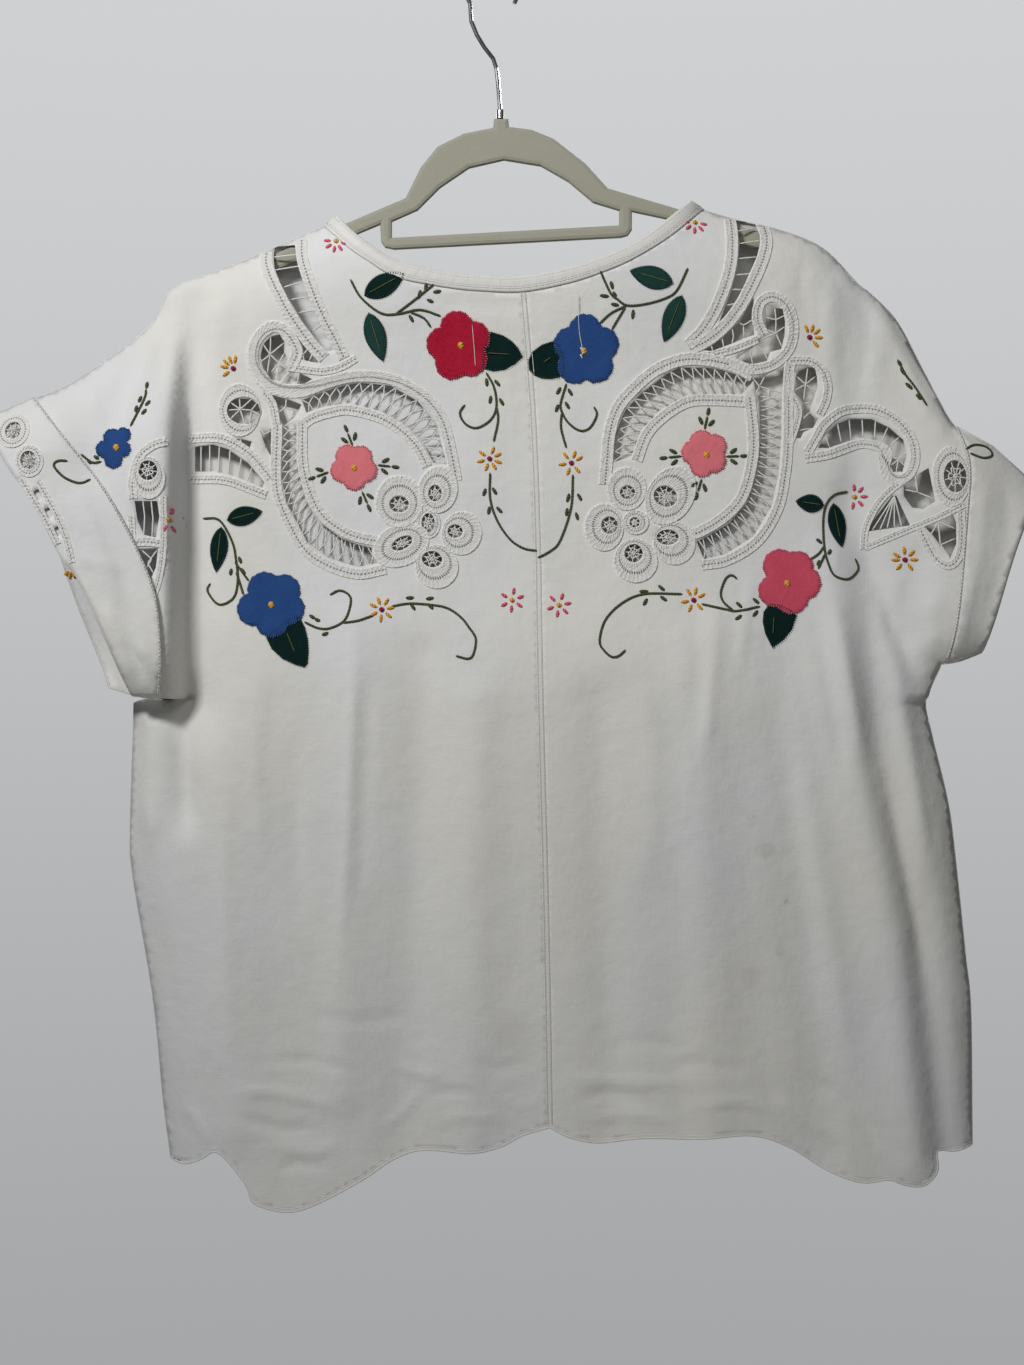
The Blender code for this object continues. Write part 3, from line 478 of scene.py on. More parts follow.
cotton = Finish("white_cotton_worn", 0.92, sheen=0.08)
spot = cotton.place()
axes = cotton.axes(spot)
cool = cotton.cloud(spot, 7, (1, 1, 0.6), 3.0).step(0.38, 0.62)
shade = cotton.blend(cool, (0.775, 0.765, 0.715), (0.755, 0.755, 0.765))
worn = cotton.cloud(spot, 26, (1, 1, 0.8), 3.0).step(0.45, 0.75)
shade = cotton.blend(worn * 0.35, shade, (0.69, 0.685, 0.65))
shade = cotton.blend(cotton.cloud(spot, 90, (1, 1, 12)) * 0.35, shade, (0.70, 0.69, 0.645))
# Faint stains and painted shade: across and down in the front view, radius in steps, strength and
# colour
STAINS_AND_PAINTED_SHADE = [
    (764, 849, 10, 0.30, (0.45, 0.47, 0.36)),
    (785, 899, 3, 0.45, (0.38, 0.38, 0.32)),
    (749, 975, 12, 0.22, (0.62, 0.44, 0.42)),
    (749, 818, 9, 0.18, (0.62, 0.46, 0.44)),
    (779, 952, 8, 0.25, (0.46, 0.46, 0.44)),
    # Painted shade: a dark blotch low in the middle and a wide patch at the lower right; the last
    # entry darkens a wide patch at the lower left
    (510, 1030, 26, 0.14, (0.50, 0.48, 0.42)),
    (690, 900, 150, 0.10, (0.58, 0.57, 0.53)),
    (370, 1030, 60, 0.08, (0.58, 0.57, 0.50)),
]
edge_noise = cotton.cloud(spot, 140) * 0.010 - 0.005
# Each entry, stain and painted shade alike, darkens the front's colour within its radius
for across, down, radius, strength, colour in STAINS_AND_PAINTED_SHADE:
    x, z = place([(across, down)])[0]
    reach = ((axes[0] - x).math("POWER", 2) + (axes[2] - z).math("POWER", 2)).math("SQRT")
    front = axes[1].step(0.004, -0.004)
    share = (reach + edge_noise).step(radius * STEP * 1.2, radius * STEP * 0.4) * front
    shade = cotton.blend(share * strength, shade, colour)
white_cotton = cotton.paint(shade, woven(cotton, spot, axes))

# Places where lace is let in, cut from the fronts, across and down in the front view
LEFT_GAPS = [
    [(273, 243), (294, 243), (296, 256), (300, 269), (304, 284), (309.5, 298.7), (315.5, 312)]
    + [(322.5, 323.6), (329, 336), (333, 350), (326.5, 351), (317, 341), (309.6, 331)]
    + [(302, 321), (292, 304.6), (284.6, 292.8), (279, 279.6), (274.5, 268), (272.5, 256)],
    [(291.3, 326.6), (298, 348), (295.5, 356), (304, 360), (318, 363), (319, 352), (301, 336)],
    [(279.6, 334.5), (270.8, 337), (263, 345), (260.6, 356), (263, 368), (270.5, 379)]
    + [(279.6, 381), (287.5, 372), (291, 365), (284, 352), (284.5, 342)],
    [(289, 373), (297.2, 371.5), (312, 378.5), (304, 383.5), (290, 383.5), (281, 383)],
    [(264, 390), (285.4, 398), (301, 404), (297, 413), (294, 417), (282.5, 426), (277.5, 413)],
    [(228, 403), (234, 398.5), (250, 398), (258, 404), (261, 413), (256, 419.5), (250, 424)]
    + [(237, 423), (228, 418), (227, 410)],
    [(257.6, 425.4), (264, 434), (270.8, 427.8), (270.5, 456), (265, 446)],
    [(226.7, 438.5), (240, 438.6), (251.5, 441), (249, 449), (240, 448), (228, 447)],
    [(301.6, 399.5), (317.7, 393.5), (329.5, 389), (345, 384.5), (358, 382), (390, 385)]
    + [(417, 400), (436, 423), (447, 464), (433, 462), (424, 444), (406, 424.5), (381.5, 411)]
    + [(349, 402.5), (323.6, 406), (306, 412)],
    [(282.5, 426), (281, 477), (286, 502), (307, 542), (329, 558), (358, 567), (381, 562)]
    + [(374, 548), (356, 544), (340, 537.5), (318, 521), (305, 499), (296, 463), (296, 424)],
    [(194, 446), (212, 444), (228, 449), (248, 463), (264, 482), (262, 488), (248, 481)]
    + [(228, 474), (212, 471), (194, 471)],
    [(143, 505), (165, 505), (167, 520), (164, 541), (152, 538), (146, 524)],
    [(146, 552), (166, 551), (164, 570), (157, 588), (152, 572)],
]
RIGHT_GAPS = [
    [(737.4, 217), (756.9, 220), (760.4, 232.7), (760.4, 244), (755.8, 259), (749, 274)]
    + [(742, 290), (735.8, 304), (729.6, 316), (716.5, 328), (725.5, 306), (730.4, 292.8)]
    + [(735.3, 275), (737.5, 258.7), (739.4, 244), (738.5, 231)],
    [(753, 298), (738.4, 324), (731, 329), (722, 338), (709, 345), (703, 350), (712, 351)]
    + [(732, 343.5), (744, 338.5), (754, 335), (753, 318)],
    [(765, 305), (773.2, 308), (782, 310), (784.6, 322), (784.4, 336), (781.3, 349), (770, 352)]
    + [(767, 361), (752, 364), (737, 364), (738, 357), (752, 348), (760, 339), (766, 328)],
    [(753.5, 378), (764.3, 375.5), (787, 363.8), (783.4, 378), (782, 406), (781.5, 439.5)]
    + [(779, 473), (772, 506), (754, 536), (726, 554), (704, 559), (697, 541), (706, 537)]
    + [(729, 524), (747.5, 502.5), (757, 473), (761, 439.5), (760, 400), (756, 391)],
    [(754, 379.9), (738.6, 374.5), (720, 369), (706.7, 367.2), (679, 367.2), (667, 373.6)]
    + [(641, 393.6), (625.6, 410), (615.6, 434), (613, 462), (634, 455), (641, 430)]
    + [(660, 410), (686, 395), (713, 393), (742, 394)],
    [(799, 371), (807.4, 367), (815, 367), (817, 376), (818, 386), (813, 401), (810, 411)]
    + [(819, 418), (813.9, 427), (804, 432), (801, 438), (795, 438), (797, 428), (804, 418)]
    + [(804, 402), (796, 393), (794, 382)],
    [(818.5, 447.5), (824, 437), (836.5, 424), (850.7, 418.5), (871.9, 418.5), (889.5, 427.5)]
    + [(903, 440), (906, 456), (902, 472), (893, 472), (889, 462), (890, 450), (879, 440.5)]
    + [(861, 437), (843.6, 442.5), (828, 448)],
    [(903, 483), (926.6, 469), (932.5, 502.5), (921, 510), (910.7, 508), (903, 496)],
    [(892, 496), (896, 496), (909, 526), (869, 531), (872, 523)],
    [(920, 525), (947.6, 512), (952, 524), (952, 545), (946, 560), (938, 548), (930, 536)],
]
# Wheels and loops of the tape: middle, half width, half height, tilt in degrees, then the same
# of the opening inside, and how many threads cross it
LEFT_LOOPS = [
    ((399, 501), 24.5, 27, 0, (399, 504), 9.5, 8, 0, 6),
    ((438, 489), 20, 24.5, 10, (435, 493), 6.5, 8, 0, 5),
    ((401, 545), 30, 21.5, -24, (402, 543), 11, 6, -28, 6),
    ((462, 533), 20.5, 22.5, 10, (455, 531), 7.5, 6.5, 0, 5),
    ((437, 567), 22, 22.5, 0, (432, 559), 10, 8, 10, 6),
    ((428, 523), 12.5, 15.5, 0, (428, 522.5), 6.5, 9.5, 0, 6),
]
RIGHT_LOOPS = [
    ((627, 488), 20, 22.5, 0, (628, 492), 7.5, 6.5, 0, 5),
    ((671, 495), 23.5, 32.5, 32, (666, 496), 12, 10, 20, 8),
    ((604, 527), 20, 24.5, 0, (610, 525), 8, 8.5, 0, 5),
    ((675, 543), 21.5, 22.5, 0, (668, 537), 11, 7.5, 0, 7),
    ((636, 561), 22.5, 22.5, 0, (634, 553), 9, 9, 0, 6),
    ((636, 522), 13.5, 12.5, 0, (635, 522), 5, 5, 0, 4),
]
SLEEVE_LOOPS = [
    ((157, 483), 16, 21, 0, (156, 475), 9, 9.5, 0, 6),
    ((948, 478), 18.5, 31, 0, (952, 478), 11, 16, 0, 7),
]


def oval(middle, wide, high, tilt, count=40):
    """A closed oval of the front view, tilted to the right by some degrees."""
    turn = np.arange(count) * (2 * math.pi / count)
    lean = math.radians(tilt)
    across = wide * np.cos(turn) * math.cos(lean) - high * np.sin(turn) * math.sin(lean)
    down = wide * np.cos(turn) * math.sin(lean) + high * np.sin(turn) * math.cos(lean)
    return place(np.stack([middle[0] + across, middle[1] + down], axis=1))


# The pieces' outlines. The two fronts stay a hair apart at the seam
neck = smooth(NECK)
seam = smooth(SEAM)
middle_of_neck = int(np.argmin(np.hypot(*(neck - seam[0]).T)))
front_left = np.vstack(
    [
        neck[1:middle_of_neck],
        seam - (0.0001, 0),
        smooth(LEFT_HEM)[-2::-1],
        smooth(LEFT_SIDE)[-2::-1],
        smooth(LEFT_SLIT)[1:],
        smooth(LEFT_UNDERARM)[::-1],
        smooth(LEFT_RIM)[-2::-1],
        smooth(LEFT_TOP)[1:],
    ]
)
front_right = np.vstack(
    [
        seam + (0.0001, 0),
        smooth(RIGHT_HEM)[1:],
        smooth(RIGHT_SIDE)[-2::-1],
        smooth(RIGHT_UNDERARM)[1:],
        smooth(RIGHT_RIM)[-2::-1],
        smooth(RIGHT_TOP)[-2::-1],
        neck[-2:middle_of_neck:-1],
    ]
)
back = np.vstack(
    [
        neck[1:-1],
        smooth(RIGHT_TOP),
        smooth(RIGHT_RIM)[1:],
        smooth(RIGHT_UNDERARM)[-2::-1],
        smooth(RIGHT_SIDE)[1:],
        smooth(BACK_HEM)[-2::-1],
        smooth(LEFT_SIDE)[-2::-1],
        smooth(LEFT_SLIT)[1:],
        smooth(LEFT_BACK_UNDERARM)[::-1],
        smooth(LEFT_BACK_RIM)[-2::-1],
        smooth(LEFT_TOP)[1:],
    ]
)
left_gaps = [place(rows) for rows in LEFT_GAPS]
left_gaps += [oval(*row[4:8], 24) for row in LEFT_LOOPS + SLEEVE_LOOPS[:1]]
right_gaps = [place(rows) for rows in RIGHT_GAPS]
right_gaps += [oval(*row[4:8], 24) for row in RIGHT_LOOPS + SLEEVE_LOOPS[1:]]
for name, side, outline, gaps, spacing in (
    ("front_left", -1, front_left, left_gaps, 0.0042),
    ("front_right", -1, front_right, right_gaps, 0.0042),
    ("back", 1, back, [], 0.0048),
):
    flat, faces = cut_cloth(outline, gaps, spacing)
    faces = faces if side < 0 else faces[:, ::-1]
    add_piece(
        name + "_cloth", upright(flat, cloth_depth(side, flat)), faces, white_cotton,
        CLOTH, stands_for=(name,),
    )

# The lace: narrow cotton tape with corded edges and a row of pinholes, tacked down in bands,
# wheels and loops. Bars and webs of twisted thread join it over the gaps in the cloth.
# Tapes along a line, with their width in steps
LEFT_TAPES = [
    ([(264.8, 250), (265.5, 262), (271, 278), (279, 294.5), (287.5, 311), (298, 327), (310, 343)]
     + [(324, 358)], 13),
    ([(300.5, 237), (302, 256), (307, 274), (315.5, 298), (325, 320), (336, 341), (344, 358)], 12),
    ([(290, 368), (297, 353), (293, 342), (284, 330), (273, 326.5), (262, 333), (254, 345)]
     + [(252, 360), (257, 375), (266, 384.5), (279, 390.5), (294, 392.5), (309, 389), (324, 383)]
     + [(345, 377), (362, 375.5), (391, 378.5), (421, 393.5), (442, 419), (453, 462)]
     + [(456, 480)], 12),
    ([(288, 367), (303, 369), (322, 371), (340, 367), (356, 358)], 8),
    ([(303, 424), (312, 417.5), (330, 411.8), (349, 409.5), (379, 417), (401, 430), (418, 448)]
     + [(427, 466)], 11),
    ([(277, 424), (276.5, 440), (275.5, 477), (280.5, 504), (302, 546), (325, 564), (357, 574)]
     + [(386, 569)], 11),
    ([(302, 422), (302.5, 463), (311, 495), (323, 516), (343, 531), (358, 537), (378, 541)], 11),
    ([(263, 392), (272, 404), (276, 424)], 9),
    ([(184, 438), (212, 437), (230, 441.5), (251, 455), (270, 477)], 10),
    ([(186, 479), (212, 479), (230, 481.5), (250, 489), (266, 495)], 9),
    ([(174, 446), (160, 451), (147, 463), (141, 486), (142, 503)], 9),
    ([(138, 546), (156, 545), (170, 547)], 9),
    ([(171, 500), (171, 550), (166, 586), (157, 604), (148, 590), (143, 560), (140, 520)], 7),
]
RIGHT_TAPES = [
    ([(731.5, 216), (732, 237.5), (730.5, 262), (725, 285), (715, 310), (703, 330)]
     + [(688, 345)], 13),
    ([(765.5, 224), (767, 239.5), (763.5, 256), (757, 273), (749, 290), (738.5, 309), (725, 326)]
     + [(708, 340), (690, 349)], 13),
    ([(764, 336), (757, 321), (758.5, 306), (767, 298.5), (777.5, 299), (788, 309), (793, 326)]
     + [(791.5, 343), (784, 356), (770, 366), (750, 369), (730, 361)], 11),
    ([(700, 357), (720, 353), (738, 348), (757, 340)], 8),
    ([(605, 484), (607, 462), (609.5, 434), (617.5, 408), (633, 389), (654, 371), (680, 360)]
     + [(707, 359.5), (735, 366), (753, 375)], 13),
    ([(637, 460), (647, 434), (664.5, 415.5), (688, 401.5), (713, 399.5), (746, 401)], 12),
    ([(750, 396), (754, 440), (750.5, 471), (741.5, 498), (724, 517), (703, 530), (690, 535)], 12),
    ([(791, 362), (789, 378), (788.5, 440), (785.5, 475), (778, 509), (758, 541), (728, 560)]
     + [(702, 565)], 11),
    ([(790, 361), (801, 360.5), (813, 362), (823.5, 372), (828, 386), (826, 401), (820, 414)], 9),
    ([(793, 372), (791.5, 392), (799, 409), (797, 424), (791, 442)], 7),
    ([(808, 452), (817, 437), (824, 425), (838, 413), (852, 408.5), (873, 408.5), (894, 418)]
     + [(909, 435), (914, 456), (909, 474), (897, 481), (886, 474), (884, 461), (888, 452)]
     + [(879, 446.5), (862, 443), (844, 449), (828, 454.5), (806, 458)], 10),
    ([(867, 547), (905, 531), (935, 518.5), (960, 506)], 7),
    ([(865, 549), (867, 527), (878, 504), (892, 489), (903, 481)], 7),
    ([(917, 527), (925, 545), (934, 561), (945, 567), (954, 559), (957, 540), (957, 512)], 8),
]
# A loop that no thread crosses, listed as the loops are
LEFT_RINGS = [((239, 410), 21, 27, 0, (244, 410.5), 17, 13.5, 0, 0)]
# Bands of crossed threads: the lines at both sides, and how many pairs go across
FAGGOT_BANDS = {
    "left": [
        ([(301.6, 399.5), (317.7, 393.5), (345, 384.5), (358, 382), (390, 385), (417, 400)]
         + [(436, 423), (447, 464)],
         [(306, 412), (323.6, 406), (349, 402.5), (381.5, 411), (406, 424.5), (424, 444)]
         + [(433, 462)], 16),
        ([(282.5, 426), (281, 477), (286, 502), (307, 542), (329, 558), (358, 567), (381, 562)],
         [(296, 424), (296, 463), (305, 499), (318, 521), (340, 537.5), (356, 544), (374, 548)],
         18),
    ],
    "right": [
        ([(748, 377), (738.6, 374.5), (706.7, 367.2), (679, 367.2), (641, 393.6), (625.6, 410)]
         + [(613, 462)],
         [(752, 395), (742, 394), (713, 393), (686, 395), (660, 410), (641, 430), (634, 455)], 17),
        ([(783, 390), (782, 406), (781.5, 439.5), (779, 473), (772, 506), (754, 536), (726, 554)]
         + [(704, 559)],
         [(760, 394), (761, 406), (761, 439.5), (757, 473), (747.5, 502.5), (729, 524)]
         + [(706, 537), (697, 541)], 19),
    ],
}
# Single threads from point to point
LEFT_THREADS = [
    [(272, 255.5), (296, 254)], [(275, 270), (300.5, 266.5)], [(284, 288), (303.5, 283)],
    [(291, 300.5), (309.5, 298)], [(298.6, 313.5), (315.5, 311)], [(312, 332), (323.5, 323.6)],
    [(263, 344), (270, 354.5), (284, 343)], [(271, 337), (270, 354.5), (260.6, 362)],
    [(270, 354.5), (267, 373)], [(270, 354.5), (279, 363), (288, 369)], [(279, 363), (284, 353)],
    [(271, 372), (279, 363), (276, 381)], [(297.5, 349), (303, 354.5), (309, 348)],
    [(303, 354.5), (304, 361)], [(309, 361), (313, 352), (320, 357)], [(299, 372), (297, 383)],
    [(230, 402), (240, 409), (252, 398)], [(239, 398), (240, 409), (230, 419)],
    [(240, 409), (251, 410), (257, 402)], [(240, 409), (244, 423)], [(251, 410), (260, 415)],
    [(251, 410), (249, 424)], [(228, 410), (240, 409)], [(258, 426), (264, 434), (271, 430)],
    [(240, 438), (241, 448)], [(286, 398), (285, 407), (278, 412)], [(285, 407), (298, 411)],
    [(285, 407), (287, 420)], [(200, 444), (200, 472)], [(209, 444), (209, 472)],
    [(219, 445), (218, 473)], [(230, 449), (228, 475)], [(241, 457), (238, 478)],
    [(252, 466), (247, 481)], [(151, 504), (153, 520), (152, 540)],
    [(159, 504), (161, 522), (160, 541)], [(150, 553), (160, 562), (153, 574)],
    [(165, 553), (156, 566), (162, 576)],
]
RIGHT_THREADS = [
    [(738, 230), (758, 225)], [(739.5, 244), (760.4, 240)], [(737.5, 260), (755.8, 258)],
    [(735.5, 276.5), (750, 275)], [(731, 291), (742, 291)], [(726, 306.5), (735.5, 304.5)],
    [(765, 318), (775.6, 320.5), (784.6, 316)], [(774, 308), (775.6, 320.5), (775.6, 333.5)],
    [(766, 330), (775.6, 333.5), (784.4, 327)], [(775.6, 333.5), (782, 347)],
    [(760, 340), (775.6, 333.5)], [(756, 345), (764, 352), (769, 361)],
    [(750, 350), (753, 364)], [(753, 320), (743, 326), (739, 323)], [(743, 326), (744, 338)],
    [(732, 329), (733.5, 336), (732, 344)], [(722, 338), (724, 348)], [(711, 344), (713, 351)],
    [(753.5, 378), (760, 386), (756, 394)], [(760, 386), (765, 376)], [(760, 386), (781, 392)],
    [(770, 387), (768, 400)], [(797, 376), (806, 384), (816, 376)],
    [(808, 368), (806, 384), (804, 400)], [(806, 384), (817, 392)], [(795, 390), (806, 384)],
    [(804, 403), (812, 402)], [(803, 419), (810, 412), (818, 419)], [(800, 430), (812, 428)],
    [(826, 436), (830, 447)], [(838, 423), (842, 442)], [(850, 418.5), (852, 439.5)],
    [(863, 418), (864, 437)], [(876, 420), (875, 438.5)], [(888, 427), (882, 442)],
    [(899, 437), (889, 447)], [(889, 455), (898, 460), (906, 452)], [(898, 460), (896, 472)],
    [(890, 466), (898, 460), (904, 466)], [(914, 476), (916, 493), (904, 490)],
    [(916, 493), (931, 500)], [(921, 528), (935, 523), (951, 530)], [(935, 523), (937, 546)],
    [(935, 523), (944, 514)], [(951, 540), (937, 546), (946, 559)], [(928, 536), (935, 523)],
    [(894, 496), (873, 530)], [(894, 496), (880, 530)], [(894, 496), (887, 529)],
    [(894, 496), (894, 528)], [(894, 496), (901, 527)],
]
# Radius of a lace thread
THREAD = 0.00044


def even(line, count):
    """Points at equal steps along a line."""
    gone = np.concatenate([[0], np.cumsum(np.hypot(*np.diff(line, axis=0).T))])
    wanted = np.linspace(0, gone[-1], count)
    return np.stack([np.interp(wanted, gone, line[:, axis]) for axis in (0, 1)], axis=1)


def long(line):
    """How long a line is."""
    return float(np.hypot(*np.diff(line, axis=0).T).sum())


def to_right(line):
    """The direction to the right of a line, at each of its points."""
    slope = np.gradient(line, axis=0)
    slope /= np.maximum(np.hypot(*slope.T), 1e-9)[:, None]
    return np.stack([slope[:, 1], -slope[:, 0]], axis=1)


def shifted(line, distance):
    """A line moved to the right of its own direction."""
    return line + distance * to_right(line)


def lay_of(gone, across):
    """U and V over a grid: how far along it is in metres, and its share across."""
    return np.stack(np.broadcast_arrays(gone[:, None], across[None]), axis=2)


def squares(length, width, first=0):
    """The faces of a grid of points, numbered from first."""
    number = np.arange(length * width).reshape(length, width) + first
    corners = (number[:-1, :-1], number[1:, :-1], number[1:, 1:], number[:-1, 1:])
    return np.stack(corners, axis=2).reshape(-1, 4)


class Sewing:
    """Tapes, threads and stitches on one side of the cloth, gathered into one piece."""

    def __init__(self, side=-1, raised=None):
        self.side = side
        self.raised = raised
        self.grids = []

    def lay(self, spots, heights, marks):
        """A grid of points, by place in the front view and height above the cloth."""
        self.grids.append((spots, heights, marks))

    def tape(self, outer, inner, rise=0.0008):
        """A woven tape between two lines, with a cord along each edge."""
        count = max(6, int(long(outer) / 0.0018))
        outer = even(outer, count)
        inner = even(inner, count)
        # Its section: a cord, the flat weave and the other cord
        across = np.array([0, 0.03, 0.08, 0.16, 0.32, 0.5, 0.68, 0.84, 0.92, 0.97, 1.0])
        profile = np.array([-0.3, 0.8, 1.0, 0.6, 0.62, 0.55, 0.62, 0.6, 1.0, 0.8, -0.3])
        share = across[None, :, None]
        spots = outer[:, None] * (1 - share) + inner[:, None] * share
        heights = np.broadcast_to(profile * rise + CLOTH / 2, spots.shape[:2])
        self.lay(spots, heights, lay_of(np.linspace(0, long(outer), count), across))

    def ribbon(self, rows, width, rise=0.0008):
        """A tape of one width along a table's line."""
        line = smooth(rows, 0.002)
        self.tape(shifted(line, -width / 2), shifted(line, width / 2), rise)

    def thread(self, line, radius, height=0.0, flat=1.0, sides=6, step=0.002):
        """A round or flattened thread along a line, its middle at a height above the cloth."""
        count = max(3, int(long(line) / step) + 2)
        line = even(line, count)
        turn = np.linspace(-math.pi / 2, 1.5 * math.pi, sides + 1)
        ends = np.ones(count)
        ends[[0, -1]] = 0.35
        wide = radius * ends[:, None] * np.cos(turn)[None, :]
        spots = line[:, None] + to_right(line)[:, None] * wide[:, :, None]
        heights = height + radius * flat * ends[:, None] * np.sin(turn)[None, :]
        gone = np.linspace(0, long(line), count)
        self.lay(spots, heights, lay_of(gone, np.linspace(0, 1, sides + 1)))

    def stitch(self, across, down, angle, length, width, height=0.0008):
        """One plump stitch, laid from its middle at an angle in degrees, 90 being down."""
        turn = math.radians(angle)
        reach = np.linspace(-0.5, 0.5, 5)
        stretch = length * reach[:, None] * (math.cos(turn), math.sin(turn))
        line = place((across, down) + stretch)
        plump = np.array([0.45, 0.95, 1.0, 0.95, 0.45])
        sides = np.linspace(-math.pi / 2, 1.5 * math.pi, 7)
        slope = (line[-1] - line[0]) / max(long(line), 1e-9)
        normal = np.array([slope[1], -slope[0]])
        wide = plump[:, None] * np.cos(sides)[None, :] * width * STEP / 2
        spots = line[:, None] + normal[None, None] * wide[:, :, None]
        heights = CLOTH / 2 + height * plump[:, None] * (0.6 + 0.8 * np.sin(sides)[None, :])
        self.lay(spots, heights, lay_of(reach * length * STEP, np.linspace(0, 1, 7)))

    def add(self, name, finish, slot):
        """One piece of all the grids, laid on the cloth."""
        spots = np.vstack([spots.reshape(-1, 2) for spots, _, _ in self.grids])
        heights = np.concatenate([np.ravel(heights) for _, heights, _ in self.grids])
        marks = np.vstack([marks.reshape(-1, 2) for _, _, marks in self.grids])
        faces = []
        first = 0
        for _, grid, _ in self.grids:
            faces.append(squares(*grid.shape, first))
            first += grid.size
        depth = cloth_depth(self.side, spots) + self.side * heights
        if self.raised is not None:
            depth += self.side * self.raised(spots)
        return add_piece(name, upright(spots, depth), np.vstack(faces), finish, marks=marks)


lace = Finish("lace_tape_and_thread", 0.9, sheen=0.1)
spot = lace.place()
along, across, _ = lace.axes(lace.place("UV"))
PINHOLE_SPACING = 0.0024
beat = (along / PINHOLE_SPACING).math("FRACT") - 0.5
shaded_pinhole = ((beat * 2.1).math("POWER", 2) + ((across - 0.5) * 9).math("POWER", 2)).math("SQRT")
shaded_pinhole = shaded_pinhole.step(0.75, 0.35)
cord = (across - 0.5).math("ABSOLUTE").step(0.34, 0.42)
crepe = lace.cloud(spot, 900, detail=3.0)
twist = ((along / 0.0011) + across * 3).math("SINE").math("ABSOLUTE")
shade = lace.blend(crepe, (0.66, 0.65, 0.62), (0.86, 0.85, 0.82))
shade = lace.blend(cord, shade, (0.84, 0.83, 0.80))
# Painted shade: each pinhole is a dark spot in the tape's colour, and sunk a little in its relief
shade = lace.blend(shaded_pinhole * 0.75, shade, (0.20, 0.195, 0.18))
height = crepe * 0.0009 + twist * 0.00022 - shaded_pinhole * 0.0009 + lace.cloud(spot, 260) * 0.0010
lace_tape = lace.paint(shade, height)
floss = Finish("white_twisted_thread", 0.85, sheen=0.1)
along, across, _ = floss.axes(floss.place("UV"))
ply = ((along / 0.0009 + across * 2) * math.pi).math("SINE").math("ABSOLUTE")
# Painted shade in the grooves of the twist and painted light on its ridges, which also stand out
# in the relief
shade = floss.blend(ply, (0.62, 0.61, 0.58), (0.88, 0.87, 0.84))
white_thread = floss.paint(shade, ply * 0.00015)


def add_bars(sewing, outer, inner, count):
    """Threads that go to and fro between two tapes and cross on the way."""
    outer = even(smooth(outer, 0.002), count + 1)
    inner = even(smooth(inner, 0.002), count + 1)
    for number in range(count):
        near = (outer[number] + outer[number + 1]) / 2
        far = (inner[number] + inner[number + 1]) / 2
        cross = near * 0.56 + far * 0.44
        foot = inner[number] * 0.5 + far * 0.5
        other = inner[number + 1] * 0.5 + far * 0.5
        sewing.thread(np.array([outer[number], cross, other]), THREAD * 1.15)
        sewing.thread(np.array([outer[number + 1], cross, foot]), THREAD * 1.15)


def add_web(sewing, middle, wide, high, tilt, spokes):
    """Threads from a knot in the middle of an opening out to its edge."""
    if not spokes:
        return
    rim = oval(middle, wide + 0.8, high + 0.8, tilt + 9, spokes + 2)
    knot = place([middle])[0]
    for end in rim:
        sewing.thread(np.array([end, knot]), THREAD)
    sewing.thread(closed(oval(middle, 1.6, 1.6, 0, 8)), THREAD * 1.6, height=0.0003)
    steps = np.arange(spokes * 2 + 1)
    share = 0.55 + 0.2 * np.sin(steps * 2.3 + middle[0])
    ring = oval(middle, wide, high, tilt, len(steps))
    sewing.thread(closed(knot + (ring - knot) * share[:, None]), THREAD * 1.1, height=0.0002)


lace_pieces = {}
for side, tapes, rings, loops, threads in (
    ("left", LEFT_TAPES, LEFT_RINGS, LEFT_LOOPS + SLEEVE_LOOPS[:1], LEFT_THREADS),
    ("right", RIGHT_TAPES, [], RIGHT_LOOPS + SLEEVE_LOOPS[1:], RIGHT_THREADS),
):
    tape = Sewing()
    webs = Sewing()
    for rows, width in tapes:
        tape.ribbon(rows, width * STEP)
    for number, ring in enumerate(rings + loops):
        outer = closed(oval(*ring[:4]))
        inner = closed(oval(*ring[4:8]))
        tape.tape(outer, inner, 0.0009 + 0.0001 * (number % 3))
        add_web(webs, *ring[4:])
    for outer, inner, count in FAGGOT_BANDS[side]:
        add_bars(webs, outer, inner, count)
    for rows in threads:
        webs.thread(place(rows), THREAD * 1.25)
    lace_pieces[side] = [
        tape.add("lace_tape_" + side, lace_tape, "white_cotton"),
        webs.add("lace_bars_" + side, white_thread, "white_cotton"),
    ]

# The flowers and leaves: small pieces of dyed cotton with their edges turned in and sewn down
# with close overcast stitches. Each flower has a knot of orange thread in its middle.
# Flowers: name, front, middle, dye, slot, and each petal's middle and radius
FLOWERS = [
    ("flower_red", "front_left", (460, 345), "red", "red_applique",
     [(457, 329, 17), (443, 344, 16.5), (452, 362, 17), (470, 359, 17), (474, 338, 16)]),
    ("flower_pink_left", "front_left", (353, 467), "pink", "pink_applique",
     [(347, 456, 12), (360, 457, 12), (365, 470, 12), (354, 478, 12), (342, 470, 12)]),
    ("flower_blue_lower", "front_left", (271, 604.5), "blue", "blue_applique",
     [(265, 589, 17), (284, 591, 16.5), (289, 609, 16), (273, 621, 16.5), (255, 609, 17)]),
    ("flower_blue_sleeve", "front_left", (124, 452), "blue", "blue_applique",
     [(120, 442, 8.5), (131, 440, 7.5), (131, 454, 8), (122, 464, 9), (113, 454, 8.5)]),
    ("flower_blue_upper", "front_right", (583, 350.5), "blue", "blue_applique",
     [(585, 331.5, 16.5), (602, 344, 16.5), (596, 365, 17), (575, 366, 17), (570.5, 344, 16.5)]),
    ("flower_pink_right", "front_right", (706, 454), "pink", "pink_applique",
     [(702, 442, 12.5), (714.5, 446, 12.5), (714, 460, 12.5), (702.5, 464, 12.5)]
     + [(694, 452, 12.5)]),
    ("flower_rose_lower", "front_right", (786, 583), "rose", "rose_applique",
     [(780, 566, 17), (797, 567, 16), (802.5, 583, 17.5), (791, 597, 17), (774, 591, 16)]),
]
